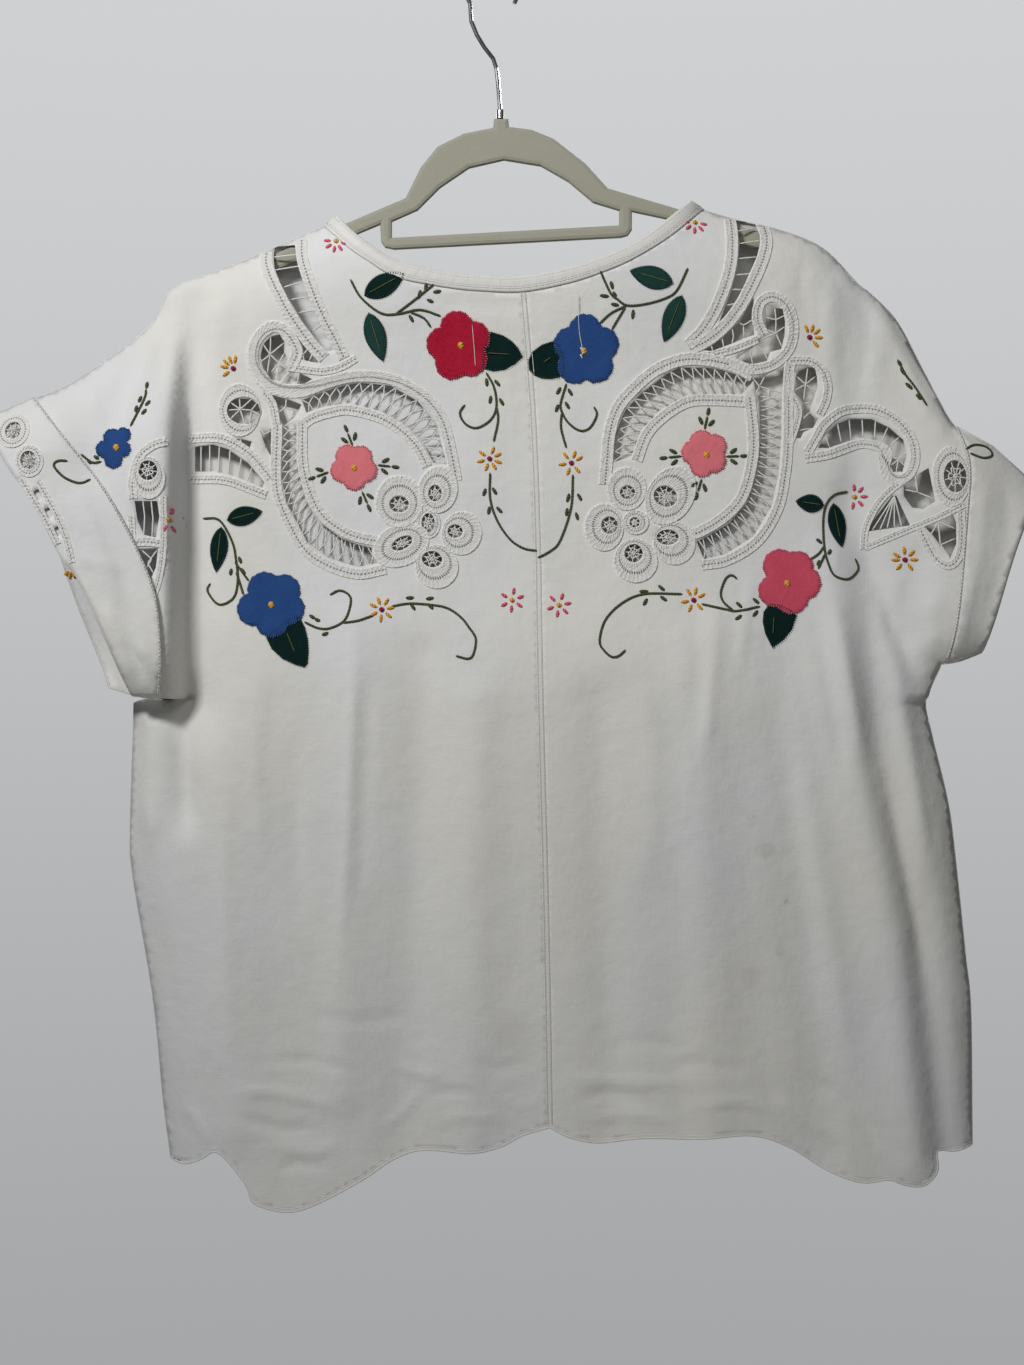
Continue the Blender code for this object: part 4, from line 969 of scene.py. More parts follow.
# Leaves: name, front, base, tip, width and dye
LEAVES = [
    ("leaf_neck_left", "front_left", (365, 297), (405, 276), 22, "green"),
    ("leaf_hanging_left", "front_left", (369, 314), (383, 361), 21, "sage"),
    ("leaf_side_left", "front_left", (227, 520), (262, 511), 19, "green"),
    ("leaf_low_left", "front_left", (221, 527), (216, 572), 18, "green"),
    ("leaf_neck_right", "front_right", (672, 285), (629, 273), 22, "sage"),
    ("leaf_hanging_right", "front_right", (681, 297), (664, 342), 21, "sage"),
    ("leaf_side_right", "front_right", (824, 505), (796, 501), 18, "green"),
    ("leaf_low_right", "front_right", (834, 503), (842, 547), 18, "green"),
]
# Leaves that go under a flower: name, front, the ends of the vein, dye and outline
TUCKED_LEAVES = [
    ("leaf_red_side", "front_left", (487, 353), (509.5, 354.5), "green",
     [(490.5, 332), (502.7, 335.6), (511.8, 341.3), (518, 348), (522.8, 356.8), (515, 364)]
     + [(505, 369.5), (493.5, 371), (482, 368), (482, 356), (484, 344)]),
    ("leaf_blue_foot", "front_left", (288, 633), (296, 652), "green",
     [(267.5, 638), (272, 632), (281, 625), (290, 618), (299, 616), (302, 620.5), (306, 628)]
     + [(309, 640), (309.8, 652), (309, 664), (306, 667.5), (297, 665), (284, 659), (273, 649)]),
    ("leaf_blue_side", "front_right", (551, 357), (544, 362), "green",
     [(553, 341.2), (541.7, 344.8), (532, 352), (528, 359.7), (528.5, 369), (534.8, 375.2)]
     + [(542, 378), (551, 378.6), (559.5, 377), (564, 372), (564, 359), (560, 346)]),
    ("leaf_rose_foot", "front_right", (773, 617), (772, 634), "green",
     [(763, 612), (762, 622), (764.5, 634), (771.5, 648), (783, 640), (791, 630), (796, 616)]
     + [(791, 611), (780, 605), (769, 604)]),
]
APPLIQUE = 0.0005
# How high a flower or leaf lies on the cloth, how high a leaf that a flower covers in part, how
# far apart the stitches along the edges are, and how thick the thread is
PROUD = 0.0006
TUCKED = 0.0001
EDGE_STITCH = 0.0017
EDGE_THREAD = 0.00036
# Each dye in shade and in light, and the thread that sews its edges down
DYES = {
    "red": ((0.33, 0.004, 0.022), (0.46, 0.016, 0.045), (0.76, 0.20, 0.24)),
    "rose": ((0.55, 0.065, 0.110), (0.64, 0.090, 0.140), (0.80, 0.26, 0.32)),
    "pink": ((0.70, 0.165, 0.190), (0.78, 0.210, 0.240), (0.88, 0.45, 0.46)),
    "blue": ((0.018, 0.060, 0.200), (0.026, 0.078, 0.245), (0.10, 0.19, 0.42)),
    "green": ((0.002, 0.013, 0.012), (0.004, 0.022, 0.020), (0.030, 0.080, 0.068)),
    "sage": ((0.010, 0.040, 0.034), (0.018, 0.058, 0.049), (0.045, 0.12, 0.10)),
}


def dyed(name, dark, light):
    """Plain dyed cotton, a little worn where it puckers, with its raised threads painted in light
    and the rest in shade.
    """
    finish = Finish(name, 0.9, gloss=0.1)
    spot = finish.place()
    axes = finish.axes(spot)
    threads = finish.cloud(spot, 500, (1, 1, 6)) + finish.cloud(spot, 500, (6, 1, 1))
    shade = finish.blend((threads - 0.7).step(0.0, 0.6), dark, light)
    shade = finish.blend(finish.cloud(spot, 60, detail=3.0).step(0.4, 0.7) * 0.7, shade, light)
    weave = (axes[0] * 11400).math("SINE") * (axes[2] * 11400).math("SINE")
    height = weave * 0.00002 + threads * 0.00012 + finish.cloud(spot, 130) * 0.0006
    return finish.paint(shade, height)


PETALS_STEPS = 150


def petals_outline(middle, petals):
    """The outline round overlapping round petals, with a sharp dip between them."""
    turn = np.arange(PETALS_STEPS) * (2 * math.pi / PETALS_STEPS)
    reach = np.zeros(PETALS_STEPS)
    for across, down, radius in petals:
        away = math.hypot(across - middle[0], down - middle[1])
        angle = turn - math.atan2(down - middle[1], across - middle[0])
        inner = radius**2 - (away * np.sin(angle)) ** 2
        reach = np.maximum(reach, away * np.cos(angle) + np.sqrt(np.maximum(inner, 0)))
    reach += 0.35 * np.sin(turn * 31) + 0.3 * np.sin(turn * 17 + middle[0])
    rows = [middle[0] + reach * np.cos(turn), middle[1] + reach * np.sin(turn)]
    return place(np.stack(rows, axis=1))


def leaf_rows(base, tip, width):
    """A pointed leaf, fullest a little below its middle."""
    share = np.linspace(0, 1, 16)
    half = width * 0.5 * np.sin(math.pi * share**0.85) ** 0.8
    length = np.array(tip, float) - base
    side = np.array([-length[1], length[0]]) / np.hypot(*length)
    middle = np.array(base, float) + share[:, None] * length
    return np.vstack([middle + side * half[:, None], (middle - side * half[:, None])[-2:0:-1]])


def add_applique(name, outline, dye, proud=PROUD):
    """A piece of dyed cotton on the front, rounded down at its sewn edge."""
    flat, faces = cut_cloth(outline, [], 0.0021)
    near = beside(closed(outline), flat)[0]
    crown = proud + 0.0004 * (1 - np.exp(-near / 0.0012))
    ripple = 0.00016 * np.sin(flat[:, 0] * 900) * np.sin(flat[:, 1] * 760)
    points = upright(flat, cloth_depth(-1, flat) - crown - ripple * (near > 0.001))
    piece = add_piece(name, points, faces, dyes[dye], APPLIQUE, stands_for=(name,))
    ahead = np.roll(outline, -1, axis=0)
    leftward = np.sum(outline[:, 0] * ahead[:, 1] - outline[:, 1] * ahead[:, 0]) > 0
    line = closed(outline if leftward else outline[::-1])
    line = even(line, int(long(line) / EDGE_STITCH))
    for point, out in zip(line[:-1], to_right(line)[:-1]):
        lean = np.array([-out[1], out[0]]) * 0.00025
        ends = np.array([point + out * 0.0005 - lean, point - out * 0.0013 + lean])
        overcasts[dye].thread(ends, EDGE_THREAD, height=0.0015, sides=4, step=0.01)
    return piece


dyes = {dye: dyed(dye + "_cotton", *DYES[dye][:2]) for dye in DYES}
overcasts = {dye: Sewing() for dye in DYES}
patches = {"front_left": [], "front_right": []}
for name, panel, middle, dye, slot, petals in FLOWERS:
    outline = petals_outline(middle, petals)
    patches[panel].append(add_applique(name, outline, dye))
for name, panel, base, tip, width, dye in LEAVES:
    outline = place(leaf_rows(base, tip, width))
    patches[panel].append(add_applique(name, outline, dye))
for name, panel, _, _, dye, rows in TUCKED_LEAVES:
    patches[panel].append(add_applique(name, place(rows), dye, TUCKED))


def embroidery(name, dark, light):
    """Shiny twisted embroidery thread, with painted shade in the grooves of its twist and painted
    light on its ridges.
    """
    finish = Finish(name, 0.55, sheen=0.1)
    along, across, _ = finish.axes(finish.place("UV"))
    ply = ((along / 0.0022 + across * 1.5) * math.pi).math("SINE").math("ABSOLUTE")
    return finish.paint(finish.blend(ply, dark, light), ply * 0.0004)


for dye, overcast in overcasts.items():
    edge_thread = embroidery(dye + "_edge_thread", DYES[dye][2], DYES[dye][2])
    slot = {"sage": "green_applique"}.get(dye, dye + "_applique")
    patches["front_left"].append(overcast.add(dye + "_edge_stitches", edge_thread, slot))

# The embroidery: stems in stem stitch, leaflets and daisies in single plump stitches, all of
# them in thick thread, with knots in the middle of flowers and veins on the leaves.
STEMS = [
    [(486, 372), (493.5, 385.5), (496.3, 400), (495.2, 411), (489, 420.6), (476, 427.4)]
    + [(465, 423), (459.6, 412.5), (464.8, 404)],
    [(496, 405), (498, 419.4), (493.5, 441)],
    [(490, 472), (490, 498), (497, 520), (510, 539), (523.6, 548), (537, 550.5)],
    [(330, 595), (340, 590.4), (350, 596), (350.5, 606.5), (344.7, 621), (330, 628.5)]
    + [(318, 628), (305, 622)],
    [(343, 623), (358, 621), (374, 615.4)],
    [(391.6, 606.5), (409, 603.6), (430, 604.8), (447, 608), (460.6, 617), (469.4, 628)]
    + [(476, 640), (471, 658), (456, 656)],
    [(351, 281), (361.5, 299), (381, 314), (398, 315), (420, 311), (441, 317)],
    [(410, 313), (424, 319), (431, 328)],
    [(396, 315), (414, 302), (434.5, 286)],
    [(202, 518), (219, 520), (232, 541.5), (236, 560), (238, 580), (234, 598), (219, 604.5)]
    + [(207, 591), (210, 583)],
    [(235, 562), (249, 581)],
    [(236.5, 572), (244, 595)],
    [(137.6, 431), (149, 403), (150, 392)],
    [(110, 466), (101, 467), (90, 459)],
    [(566.4, 383), (561, 401), (561, 409), (568, 421.7), (580, 430), (590, 427), (597, 414)]
    + [(594, 406)],
    [(561.8, 412), (561, 427), (566.4, 447.5)],
    [(573, 474), (571, 507.5), (560, 540.5), (550, 551), (537.6, 557.7)],
    [(599, 272), (610, 295), (616, 300), (626, 306.5), (643, 305.7), (664, 300), (676, 292)]
    + [(687, 270)],
    [(626, 307), (611, 314), (599.5, 324)],
    [(625, 308), (617.4, 320.4), (611.6, 330)],
    [(759.4, 606.4), (737, 611), (726, 609.6), (701, 604)],
    [(733, 611), (723, 602), (720.5, 592), (726, 578), (732, 575), (737, 579)],
    [(682, 594), (644, 594), (622, 603), (605, 620), (599, 641), (603, 650), (611, 657)]
    + [(618, 656), (625, 650)],
    [(849, 491), (836, 494), (827.5, 502.5), (823.5, 518), (824, 548), (828, 565), (834, 576)]
    + [(848, 579), (859, 569), (856, 558)],
    [(824, 546), (818, 554), (809, 560)],
    [(824.5, 554), (817.5, 569)],
    [(898, 359), (906, 375), (914, 386), (926, 406)],
]
# Leaflets: middle, angle in degrees, 90 being down, and length
LEAFLETS = [
    (486.6, 381.7, 85, 8), (497.2, 382.5, 48, 8), (490.2, 399, 100, 8), (501.5, 401.3, 60, 8),
    (484.3, 491.7, 110, 8), (494.4, 490.6, 60, 8), (488.8, 510, 100, 8), (499.2, 509.4, 45, 8),
    (558.7, 390.1, 120, 8), (570.2, 391.5, 60, 8), (557, 407.5, 110, 8), (567.4, 404.7, 60, 8),
    (568.2, 497.3, 105, 9), (579.7, 496.7, 60, 8), (566.8, 511.6, 100, 8), (577, 515.8, 75, 8),
    (410, 597.8, -3, 8), (413, 607, 55, 8), (429.9, 598.4, -10, 8), (430.5, 606.4, 45, 8),
    (643.7, 591.4, 0, 9), (645, 602, 120, 8), (661.4, 588, 40, 8), (663.3, 598.6, 35, 8),
    (738.6, 605, 45, 8), (737.7, 617.5, 145, 8), (755.5, 601, 40, 8), (754.6, 613.6, 130, 8),
    (614.5, 305.9, 10, 8), (632.5, 315.2, 95, 9), (603.9, 297.5, 5, 9), (611.2, 287.1, 75, 8),
    (614, 296, 60, 6), (419.8, 296.1, 105, 9), (426.3, 288.3, 100, 9), (437.5, 293.3, -10, 8),
    (430.5, 302.3, 20, 7), (411.4, 319.4, 60, 8), (240, 560, 70, 7), (231, 572, 100, 7),
    (243, 571, 50, 7), (313, 617, 30, 7), (326, 634, 160, 7), (318, 620, 20, 6),
    (145, 403, 110, 7), (153, 407, 130, 7), (142, 413, 100, 7), (150, 416, 130, 7),
    (150.5, 388, 95, 7), (105, 462, 30, 6), (98, 466, 50, 6), (819, 541, 40, 7),
    (829, 552, 120, 6), (903, 371, 60, 8), (909, 386, 45, 9), (900, 363, 60, 7),
    (918, 397, 55, 7), (818, 563, 110, 6),
]
# Sprigs of three leaflets: where each starts, and its angle
SPRIGS = [
    (352, 444.8, -111), (377.2, 464.5, 6), (361.7, 491, 67), (328, 471.5, 159),
    (704.9, 428.5, -78), (726.5, 456, -2), (702, 478.5, 107), (681.6, 455.5, 174),
]
# Daisies: middle, and the angle of each stitch
YELLOW_DAISIES = [
    (489.5, 458, (-70, -25, 20, 60, 110, 165, 215)), (571.5, 462.3, (-72, -30, 50, 110, 172, 232)),
    (382, 609.5, (-60, -10, 40, 95, 150, 205, 250)), (693.5, 600, (-78, -30, 50, 115, 170, 238)),
    (233.3, 368.4, (-78, -110, -140, -170, 145)), (809.3, 337.6, (-112, -75, -38, 2, 48)),
    (904, 560, (-150, -95, -45, 0, 55, 130, 180)),
]
PINK_DAISIES = [
    (512, 600, (-80, -20, 35, 95, 150, 210)), (558.8, 605, (-70, -10, 45, 100, 160, 225)),
    (856, 496, (-95, -50, 0, 50, 100)), (176, 523, (-80, -30, 20, 70, 110)),
    (336, 241, (20, 60, 100, 145, 185)), (695, 222, (10, 50, 95, 140, 180)),
]
stem_work = Sewing()
yellow_work = Sewing()
pink_work = Sewing()
knot_work = Sewing()
# The stems' thread, and the radius of the veins'
STEM = {"radius": 0.00080, "height": 0.0009, "flat": 0.65, "sides": 8, "step": 0.0014}
VEIN = 0.00028
for rows in STEMS:
    stem_work.thread(smooth(rows, 0.002), **STEM)
for across, down, angle, length in LEAFLETS:
    stem_work.stitch(across, down, angle, length, 3.8)
for across, down, angle in SPRIGS:
    turn = math.radians(angle)
    ahead = np.array([math.cos(turn), math.sin(turn)])
    beside_it = np.array([-ahead[1], ahead[0]])
    start = np.array([across, down], float)
    stem = place([start, start + ahead * 13])
    stem_work.thread(stem, **STEM)
    stem_work.stitch(*(start + ahead * 18), angle, 8, 4.0)
    for side in (-1, 1):
        spot = start + ahead * 7.5 + beside_it * side * 5.5
        stem_work.stitch(*spot, angle + 34 * side, 8.5, 4.2)


def add_daisy(work, across, down, angles, length, reach=9):
    """Single stitches that stand round a middle, reach steps out from it."""
    for angle in angles:
        turn = math.radians(angle)
        spot = (across + reach * math.cos(turn), down + reach * math.sin(turn))
        work.stitch(*spot, angle, length, 3.5)


for daisy in YELLOW_DAISIES:
    add_daisy(yellow_work, *daisy, 8.0)
for daisy in PINK_DAISIES:
    add_daisy(pink_work, *daisy, 7.0)
rim_work = Sewing(1, raised=lambda spots: np.full(len(spots), -0.0024))
add_daisy(rim_work, 71.5, 569, (-35, 30, 65, 100, 135), 6.0, 6)
magenta_work = Sewing()
for across, down, _ in YELLOW_DAISIES:
    magenta_work.stitch(across, down, 10, 5.2, 5.2, 0.0012)
for across, down, _ in PINK_DAISIES:
    knot_work.stitch(across, down, 20, 5.0, 4.8, 0.0012)
for _, _, (across, down), _, _, _ in FLOWERS:
    knot_work.stitch(across + 0.8, down + 0.5, 70, 7.0, 6.2, 0.0017)
veins = Sewing()
for _, _, base, tip, _, _ in LEAVES:
    base, tip = np.array(base, float), np.array(tip, float)
    veins.thread(place([base + (tip - base) * 0.12, base + (tip - base) * 0.78]), VEIN, 0.0017)
for _, _, base, tip, _, _ in TUCKED_LEAVES:
    veins.thread(place([base, tip]), VEIN, 0.0017)
tacking = Sewing()
for rows in (
    [(472.3, 326), (474, 345), (475.3, 366)],
    [(532, 352.2), (534.2, 374.6)],
    [(578, 296), (579, 330), (583, 352)],
):
    tacking.thread(smooth(rows), 0.00026, height=0.0017, sides=5)
for across, down, angle in ((581.5, 349.5, 60), (583, 353, 120), (581.5, 356.5, 60)):
    tacking.stitch(across, down, angle, 5, 1.6, 0.0019)
orange_thread = embroidery("orange_thread", (0.55, 0.22, 0.01), (0.84, 0.42, 0.03))
olive_thread = embroidery("dark_olive_thread", (0.022, 0.032, 0.014), (0.085, 0.105, 0.042))
pink_thread = embroidery("pink_thread", (0.55, 0.05, 0.11), (0.80, 0.15, 0.22))
magenta_thread = embroidery("magenta_thread", (0.18, 0.005, 0.05), (0.36, 0.012, 0.09))
amber_thread = embroidery("amber_thread", (0.50, 0.20, 0.02), (0.82, 0.45, 0.05))
vein_thread = embroidery("green_vein_thread", (0.07, 0.09, 0.02), (0.20, 0.22, 0.06))
sewn_on = [
    rim_work.add("rim_daisy", orange_thread, "pink_applique"),
    stem_work.add("stems", olive_thread, "green_applique"),
    yellow_work.add("yellow_daisies", orange_thread, "pink_applique"),
    pink_work.add("pink_daisies", pink_thread, "pink_applique"),
    magenta_work.add("magenta_knots", magenta_thread, "rose_applique"),
    knot_work.add("orange_knots", amber_thread, "pink_applique"),
    veins.add("leaf_veins", vein_thread, "green_applique"),
    tacking.add("tacking_threads", white_thread, "white_cotton"),
]

# The seams and edges: a flat seam down the middle with two rows of stitching, rolled seams at
# the sides and shoulders, a narrow rolled hem, and a folded strip bound round the neck.
NECK_EDGE = [(337, 215), (351, 230), (370, 246), (398, 263), (448, 274.5), (485, 278), (523, 278)]
NECK_EDGE += [(567, 270), (600, 260), (634, 245), (665, 222), (690.5, 200)]
seaming = Finish("stitched_cotton_seam", 0.9, sheen=0.08)
spot = seaming.place()
axes = seaming.axes(spot)
lay = seaming.place("UV")
along, across, _ = seaming.axes(lay)
row = (across - 0.5).math("ABSOLUTE")
beat = (along / 0.0026).math("FRACT")
stitched = row.step(0.24, 0.29) * row.step(0.40, 0.35) * beat.step(0.12, 0.3)
shaded_groove = row.step(0.2, 0.29) * row.step(0.45, 0.36)
shade = seaming.blend(seaming.cloud(spot, 12), (0.78, 0.77, 0.735), (0.74, 0.73, 0.69))
# Painted shade along the groove of each row of stitches, which is also sunk in the relief
shade = seaming.blend(shaded_groove * 0.20, shade, (0.55, 0.54, 0.50))
shade = seaming.blend(stitched * 0.35, shade, (0.88, 0.87, 0.84))
pucker = seaming.cloud(lay, 1, (420, 1.5, 1), 3.0) * 0.0003
height = woven(seaming, spot, axes, 0.4) - shaded_groove * 0.0003 + stitched * 0.0004 + pucker
seam_cloth = seaming.paint(shade, height)
# Half the width of the middle seam, half the width and depth of a rolled seam, how far the hem
# is turned up, and the radius of its roll and of a sleeve's
SEAM_HALF = 0.0022
ROLL_HALF = 0.0006
ROLL_DEPTH = 0.0015
HEM = 0.0024
HEM_ROLL = 0.0008
RIM_ROLL = 0.0011
seam_line = smooth(SEAM, 0.004)
seam_work = Sewing()
seam_work.tape(shifted(seam_line, -SEAM_HALF), shifted(seam_line, SEAM_HALF), 0.0002)
hem_line = np.vstack([smooth(LEFT_HEM), smooth(RIGHT_HEM)[1:]])
hem_work = Sewing()
back_work = Sewing(side=1)
for work, line in ((hem_work, hem_line), (back_work, smooth(BACK_HEM))):
    work.tape(shifted(line, -HEM), shifted(line, 0.0002), 0.0003)
    work.thread(line, HEM_ROLL)
for work, rims in ((seam_work, (LEFT_RIM, RIGHT_RIM)), (back_work, (LEFT_BACK_RIM, RIGHT_RIM))):
    for rows in rims:
        work.thread(smooth(rows), RIM_ROLL, height=0.0004)
edges = []
turn = np.linspace(0, 2 * math.pi, 9)
for number, rows in enumerate((LEFT_TOP, RIGHT_TOP, LEFT_SIDE, RIGHT_SIDE, RIGHT_UNDERARM)):
    line = smooth(rows, 0.003)
    spots = line[:, None] + to_right(line)[:, None] * (ROLL_HALF * np.cos(turn))[None, :, None]
    depth = -sleeve_swing(line)[:, None] + (ROLL_DEPTH * np.sin(turn))[None]
    points = np.stack([spots[..., 0], depth, spots[..., 1]], axis=2).reshape(-1, 3)
    faces = squares(len(line), len(turn))
    edges.append(add_piece(f"rolled_seam_{number}", points, faces, white_cotton))
front_seams = seam_work.add("front_seams", seam_cloth, "white_cotton")
front_hem = hem_work.add("front_hem", white_cotton, "white_cotton")
back_hem = back_work.add("back_hem", white_cotton, "white_cotton")

# The strip round the neck runs along the front's edge and comes back along the back's
STRIP_STEPS = 120
outer = even(smooth(NECK), STRIP_STEPS)
inner = even(smooth(NECK_EDGE), STRIP_STEPS)
points = []
marks = []
across = np.array([-0.12, 0.0, 0.15, 0.35, 0.6, 0.85, 1.0])
swell = np.array([0.0003, 0.0009, 0.0010, 0.0012, 0.0012, 0.0011, 0.0004])
gone = np.linspace(0, long(outer), STRIP_STEPS)
for side in (-1, 1):
    spots = outer[:, None] + (inner - outer)[:, None] * across[None, :, None]
    drag = 1 + 0.12 * np.sin(gone * 700)[:, None] * np.sin(across * 3)[None]
    depth = cloth_depth(side, spots.reshape(-1, 2)).reshape(spots.shape[:2])
    depth = depth + side * swell[None] * drag
    ring = np.concatenate([spots[..., :1], depth[..., None], spots[..., 1:]], axis=2)
    lay = lay_of(gone * -side, across)
    points.append(ring if side < 0 else ring[::-1])
    marks.append(lay if side < 0 else lay[::-1])
points = closed(np.vstack(points))
marks = closed(np.vstack(marks))
faces = squares(*points.shape[:2])[:, [0, 3, 2, 1]]
binding = add_piece(
    "neck_binding_strip", points.reshape(-1, 3), faces, seam_cloth, 0.0008,
    marks.reshape(-1, 2), stands_for=("neck_binding",),
)

# The cuffs: each sleeve's end is turned up on itself and left loose at its upper edge. The
# left one shows the lace wheels that are let in along its fold.
LEFT_CUFF_EDGE = [(38, 400), (60.5, 426), (84, 455), (117, 499), (147, 554), (165, 602)]
LEFT_CUFF_EDGE += [(169.5, 660), (164, 697)]
RIGHT_CUFF_EDGE = [(956, 427), (964, 455), (965, 480), (962.6, 505), (952.7, 613), (945.5, 661)]
CUFF_CREASES = [
    ([(60, 440), (100, 520), (134, 620)], 0.006, 0.0018),
    ([(96, 490), (130, 570), (150, 660)], 0.006, -0.0014),
    ([(84, 560), (108, 566), (140, 572)], 0.004, 0.0010),
    ([(112, 600), (132, 650), (140, 690)], 0.004, 0.0024),
    ([(128, 640), (148, 662), (160, 690)], 0.004, -0.0018),
    ([(146, 640), (158, 664), (152, 692)], 0.003, 0.0016),
    ([(980, 470), (974, 540), (962, 620)], 0.006, 0.0016),
    ([(1000, 470), (1000, 540), (982, 630)], 0.006, -0.0012),
    ([(966, 560), (960, 610), (956, 650)], 0.004, 0.0012),
]


def cuff_lift(spots):
    """How far a cuff stands off the sleeve, most at its loose edge."""
    lift = np.full(len(spots), 0.0019)
    for rows in (LEFT_CUFF_EDGE, RIGHT_CUFF_EDGE):
        lift += 0.0025 * np.exp(-beside(smooth(rows, 0.01), spots)[0] / 0.020)
    for rows, width, height in CUFF_CREASES:
        away, along = beside(smooth(rows, 0.01), spots)
        ends = ease(along / 0.25) * ease((1 - along) / 0.25)
        lift += height * np.exp(-((away / width) ** 2)) * ends
    return lift


# Wheels of the cuff: middle, half width and height, and the same of the opening inside. Then the
# smaller holes' middle and half width, and the tapes' line and width in metres
CUFF_WHEELS = [((24, 436), 17, 18, (24, 436), 8, 9), ((42, 467), 14, 16, (41, 466), 7.5, 9)]
CUFF_HOLES = [((50, 500), 4.5), ((60, 518), 4.5), ((69, 536), 4)]
CUFF_TAPES = [
    ([(34, 484), (46, 504), (58, 524), (70, 548)], 0.0050),
    ([(50, 486), (58, 500), (68, 518), (78, 542), (84, 566)], 0.0046),
]
CUFF_GAPS = [oval(*row[3:], 0, 20) for row in CUFF_WHEELS]
CUFF_GAPS += [oval(middle, wide, 6, 30, 14) for middle, wide in CUFF_HOLES]
LEFT_CURL = [(101, 484), (90, 488), (75, 482), (65.5, 471), (70, 466.5), (79, 466.5)]
RIGHT_CURL = [(962, 451), (972, 446), (985, 448), (990, 456), (980, 459.5), (966, 455)]
for name, side, edge, rim, top, gaps, flat_size in (
    ("cuff_left_front", -1, LEFT_CUFF_EDGE, LEFT_RIM, (12, 412), CUFF_GAPS, (0.075, 0.24)),
    ("cuff_left_back", 1, LEFT_CUFF_EDGE, LEFT_BACK_RIM, (12, 412), [], (0.085, 0.24)),
    ("cuff_right_front", -1, RIGHT_CUFF_EDGE, RIGHT_RIM, (992, 446), [], (0.05, 0.18)),
    ("cuff_right_back", 1, RIGHT_CUFF_EDGE, RIGHT_RIM, (992, 446), [], (0.05, 0.18)),
):
    outline = np.vstack([smooth(edge), smooth(rim)[::-1], place([top])])
    flat, faces = cut_cloth(outline, gaps, 0.0038)
    points = upright(flat, cloth_depth(side, flat) + side * cuff_lift(flat))
    faces = faces if side < 0 else faces[:, ::-1]
    cuff = add_piece(
        name + "_cloth", points, faces, white_cotton, CLOTH, stands_for=(name,)
    )
    panel = "front_left" if "left" in name else "front_right"
    rests_on = [panel if side < 0 else "back"]
    corners = flat[faces]
    first, second = corners[:, 1] - corners[:, 0], corners[:, 2] - corners[:, 0]
    area = abs(first[:, 0] * second[:, 1] - first[:, 1] * second[:, 0]).sum() / 2
    trim = Sewing(side, raised=cuff_lift)
    trim.thread(smooth(edge), 0.0008, height=0.0002)
    if gaps:
        for outer_middle, outer_wide, outer_high, middle, wide, high in CUFF_WHEELS:
            wheel = oval(outer_middle, outer_wide, outer_high, 0)
            trim.tape(closed(wheel), closed(oval(middle, wide, high, 0)))
        for rows, width in CUFF_TAPES:
            trim.ribbon(rows, width)
        for _, _, _, middle, wide, high in CUFF_WHEELS:
            add_web(trim, middle, wide, high, 0, 6)
    trim.add(name + "_trim", lace_tape, "white_cotton")
    if side < 0:
        vine = Sewing(side, raised=cuff_lift)
        curl = smooth(LEFT_CURL if gaps else RIGHT_CURL, 0.002)
        vine.thread(curl, 0.00085, height=0.0007, flat=0.65, sides=8, step=0.0014)
        vine.add(name + "_curl", olive_thread, "green_applique")
left_trim = lace_pieces["left"] + [front_seams, front_hem] + patches["front_left"] + sewn_on
right_trim = lace_pieces["right"] + patches["front_right"]
back_trim = [back_hem] + edges

# The hanger's moulded body is coated in grey-green flock, and its hook and the collar that
# holds it are chromed wire and sheet.
flock = Finish("sage_flock_pile", 0.95, sheen=0.35)
spot = flock.place()
pile = flock.cloud(spot, 2600, detail=1.0)
shade = flock.blend(pile, (0.30, 0.295, 0.225), (0.42, 0.41, 0.33))
shade = flock.blend(flock.cloud(spot, 60) * 0.3, shade, (0.46, 0.45, 0.38))
sage_flock = flock.paint(shade, pile * 0.00025)
chrome = Finish("chromed_wire_bright", 0.16, metallic=1.0)
wear = chrome.cloud(chrome.place(), 300, (1, 1, 0.2))
chrome.feed(chrome.shader.inputs["Roughness"], wear * 0.18 + 0.08)
shade = chrome.blend(wear, (0.66, 0.66, 0.65), (0.52, 0.52, 0.51))
chromed_wire = chrome.paint(shade, wear * 0.00002)
for name, finish in (
    ("hanger", sage_flock),
    ("hook", chromed_wire),
    ("hook_ferrule", chromed_wire),
):
    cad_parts[name].material_slots[0].material = finish

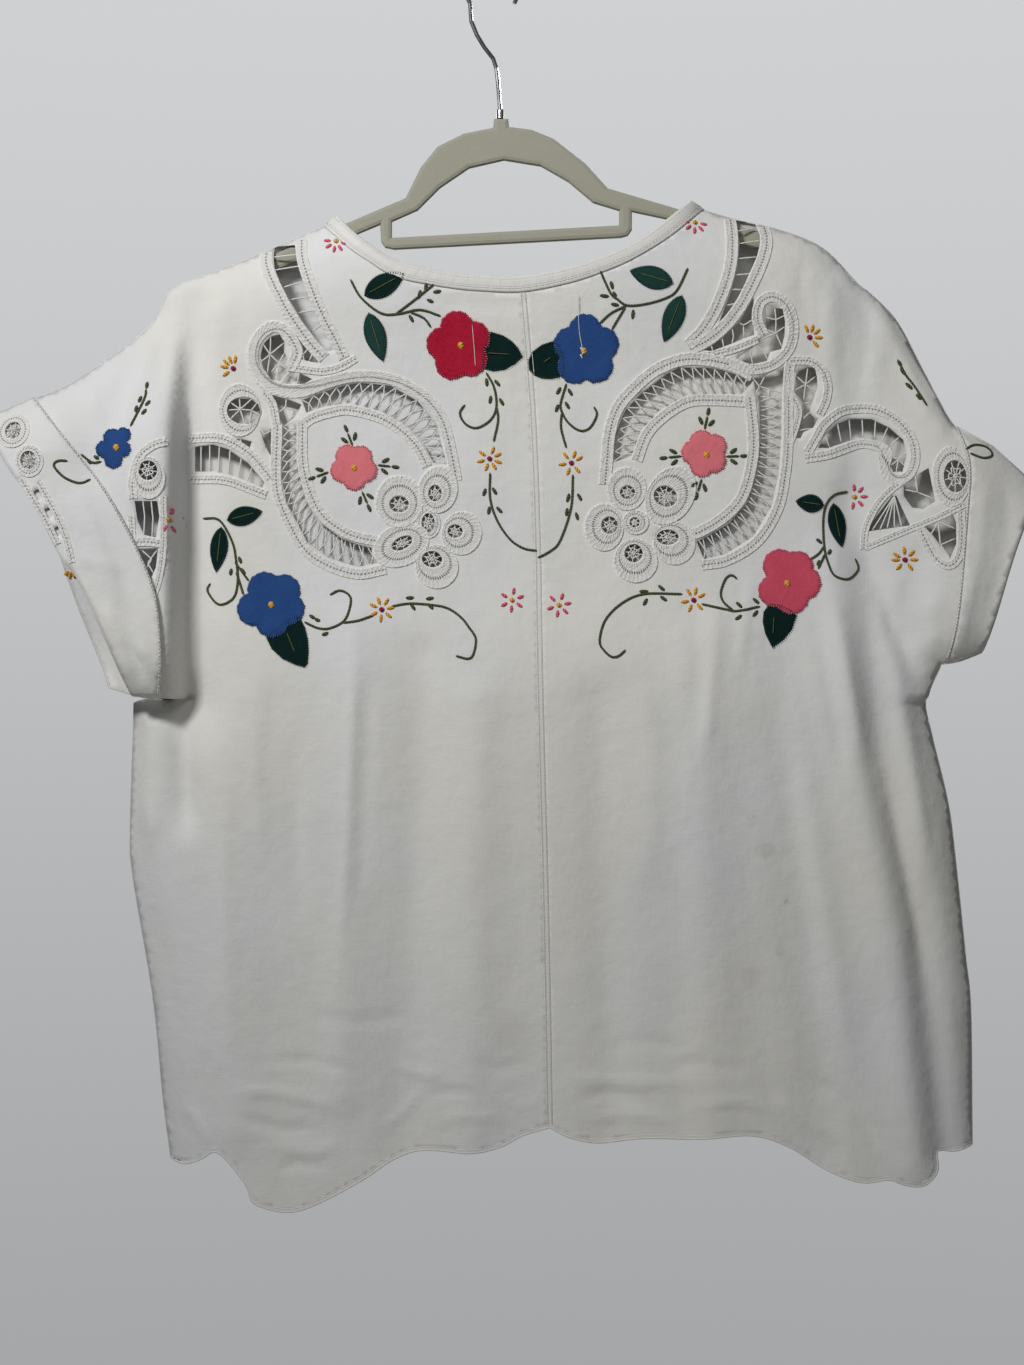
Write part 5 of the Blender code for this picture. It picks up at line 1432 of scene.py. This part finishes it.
# A plain pale floor in an evenly pale studio, with a soft lamp at the upper left and a weaker
# wide one in front of the neck, and two soft lamps behind.
FLOOR_LEVEL = -1.45
FLOOR_CORNERS = 96
pale = Finish("pale_stage", 0.9)
shade = pale.blend(pale.cloud(pale.place(), 3), (0.80, 0.80, 0.79), (0.83, 0.83, 0.82))
mesh = bpy.data.meshes.new("floor")
turn = np.arange(FLOOR_CORNERS) * (2 * math.pi / FLOOR_CORNERS)
rim = np.stack([np.cos(turn), np.sin(turn), np.full(FLOOR_CORNERS, FLOOR_LEVEL)], axis=1)
mesh.from_pydata(rim.tolist(), [], [tuple(range(FLOOR_CORNERS))])
mesh.materials.append(pale.paint(shade))
floor = bpy.data.objects.new("floor", mesh)
scene.collection.objects.link(floor)
# Where each lamp stands, what it aims at, its size, spread in degrees and power
for name, spot, aim, size, spread, power in (
    ("key_lamp", (-0.74, -1.20, 0.42), (0.02, -0.02, -0.24), 0.26, 120, 7.5),
    ("front_lamp", (0.10, -1.10, 0.25), (0.05, -0.02, -0.25), 0.50, 180, 2.0),
    ("back_lamp", (0.90, 1.30, 0.40), (0, 0.02, -0.40), 0.40, 180, 14.0),
    ("back_fill_lamp", (-0.50, 1.50, 0.00), (0, 0.02, -0.50), 0.80, 180, 5.0),
):
    lamp_data = bpy.data.lights.new(name, "AREA")
    lamp_data.size = size
    lamp_data.spread = math.radians(spread)
    lamp_data.energy = power
    lamp = bpy.data.objects.new(name, lamp_data)
    lamp.location = spot
    lamp.rotation_euler = (Vector(aim) - Vector(spot)).to_track_quat("-Z", "Y").to_euler()
    scene.collection.objects.link(lamp)


class Studio(Finish):
    """The even light from all round, with its nodes added as a finish's are."""

    def __init__(self, name):
        self.world = bpy.data.worlds.new(name)
        self.world.use_nodes = True
        self.tree = self.world.node_tree
        self.light = self.tree.nodes["Background"].inputs


studio = Studio("studio")
studio.feed(studio.light["Color"], (0.96, 0.98, 1.0, 1))
seen = studio.add("ShaderNodeLightPath", {}, {}, "Is Camera Ray")
height = studio.axes(studio.place("Generated"))[2]
# The light on the object is weak and even. What the viewer sees is paler towards the top
LIGHT = 0.07
studio.feed(studio.light["Strength"], seen * (height.step(-0.5, 0.5) * 0.3 + 0.30) + LIGHT)
scene.world = studio.world
scene.view_settings.view_transform = "Standard"
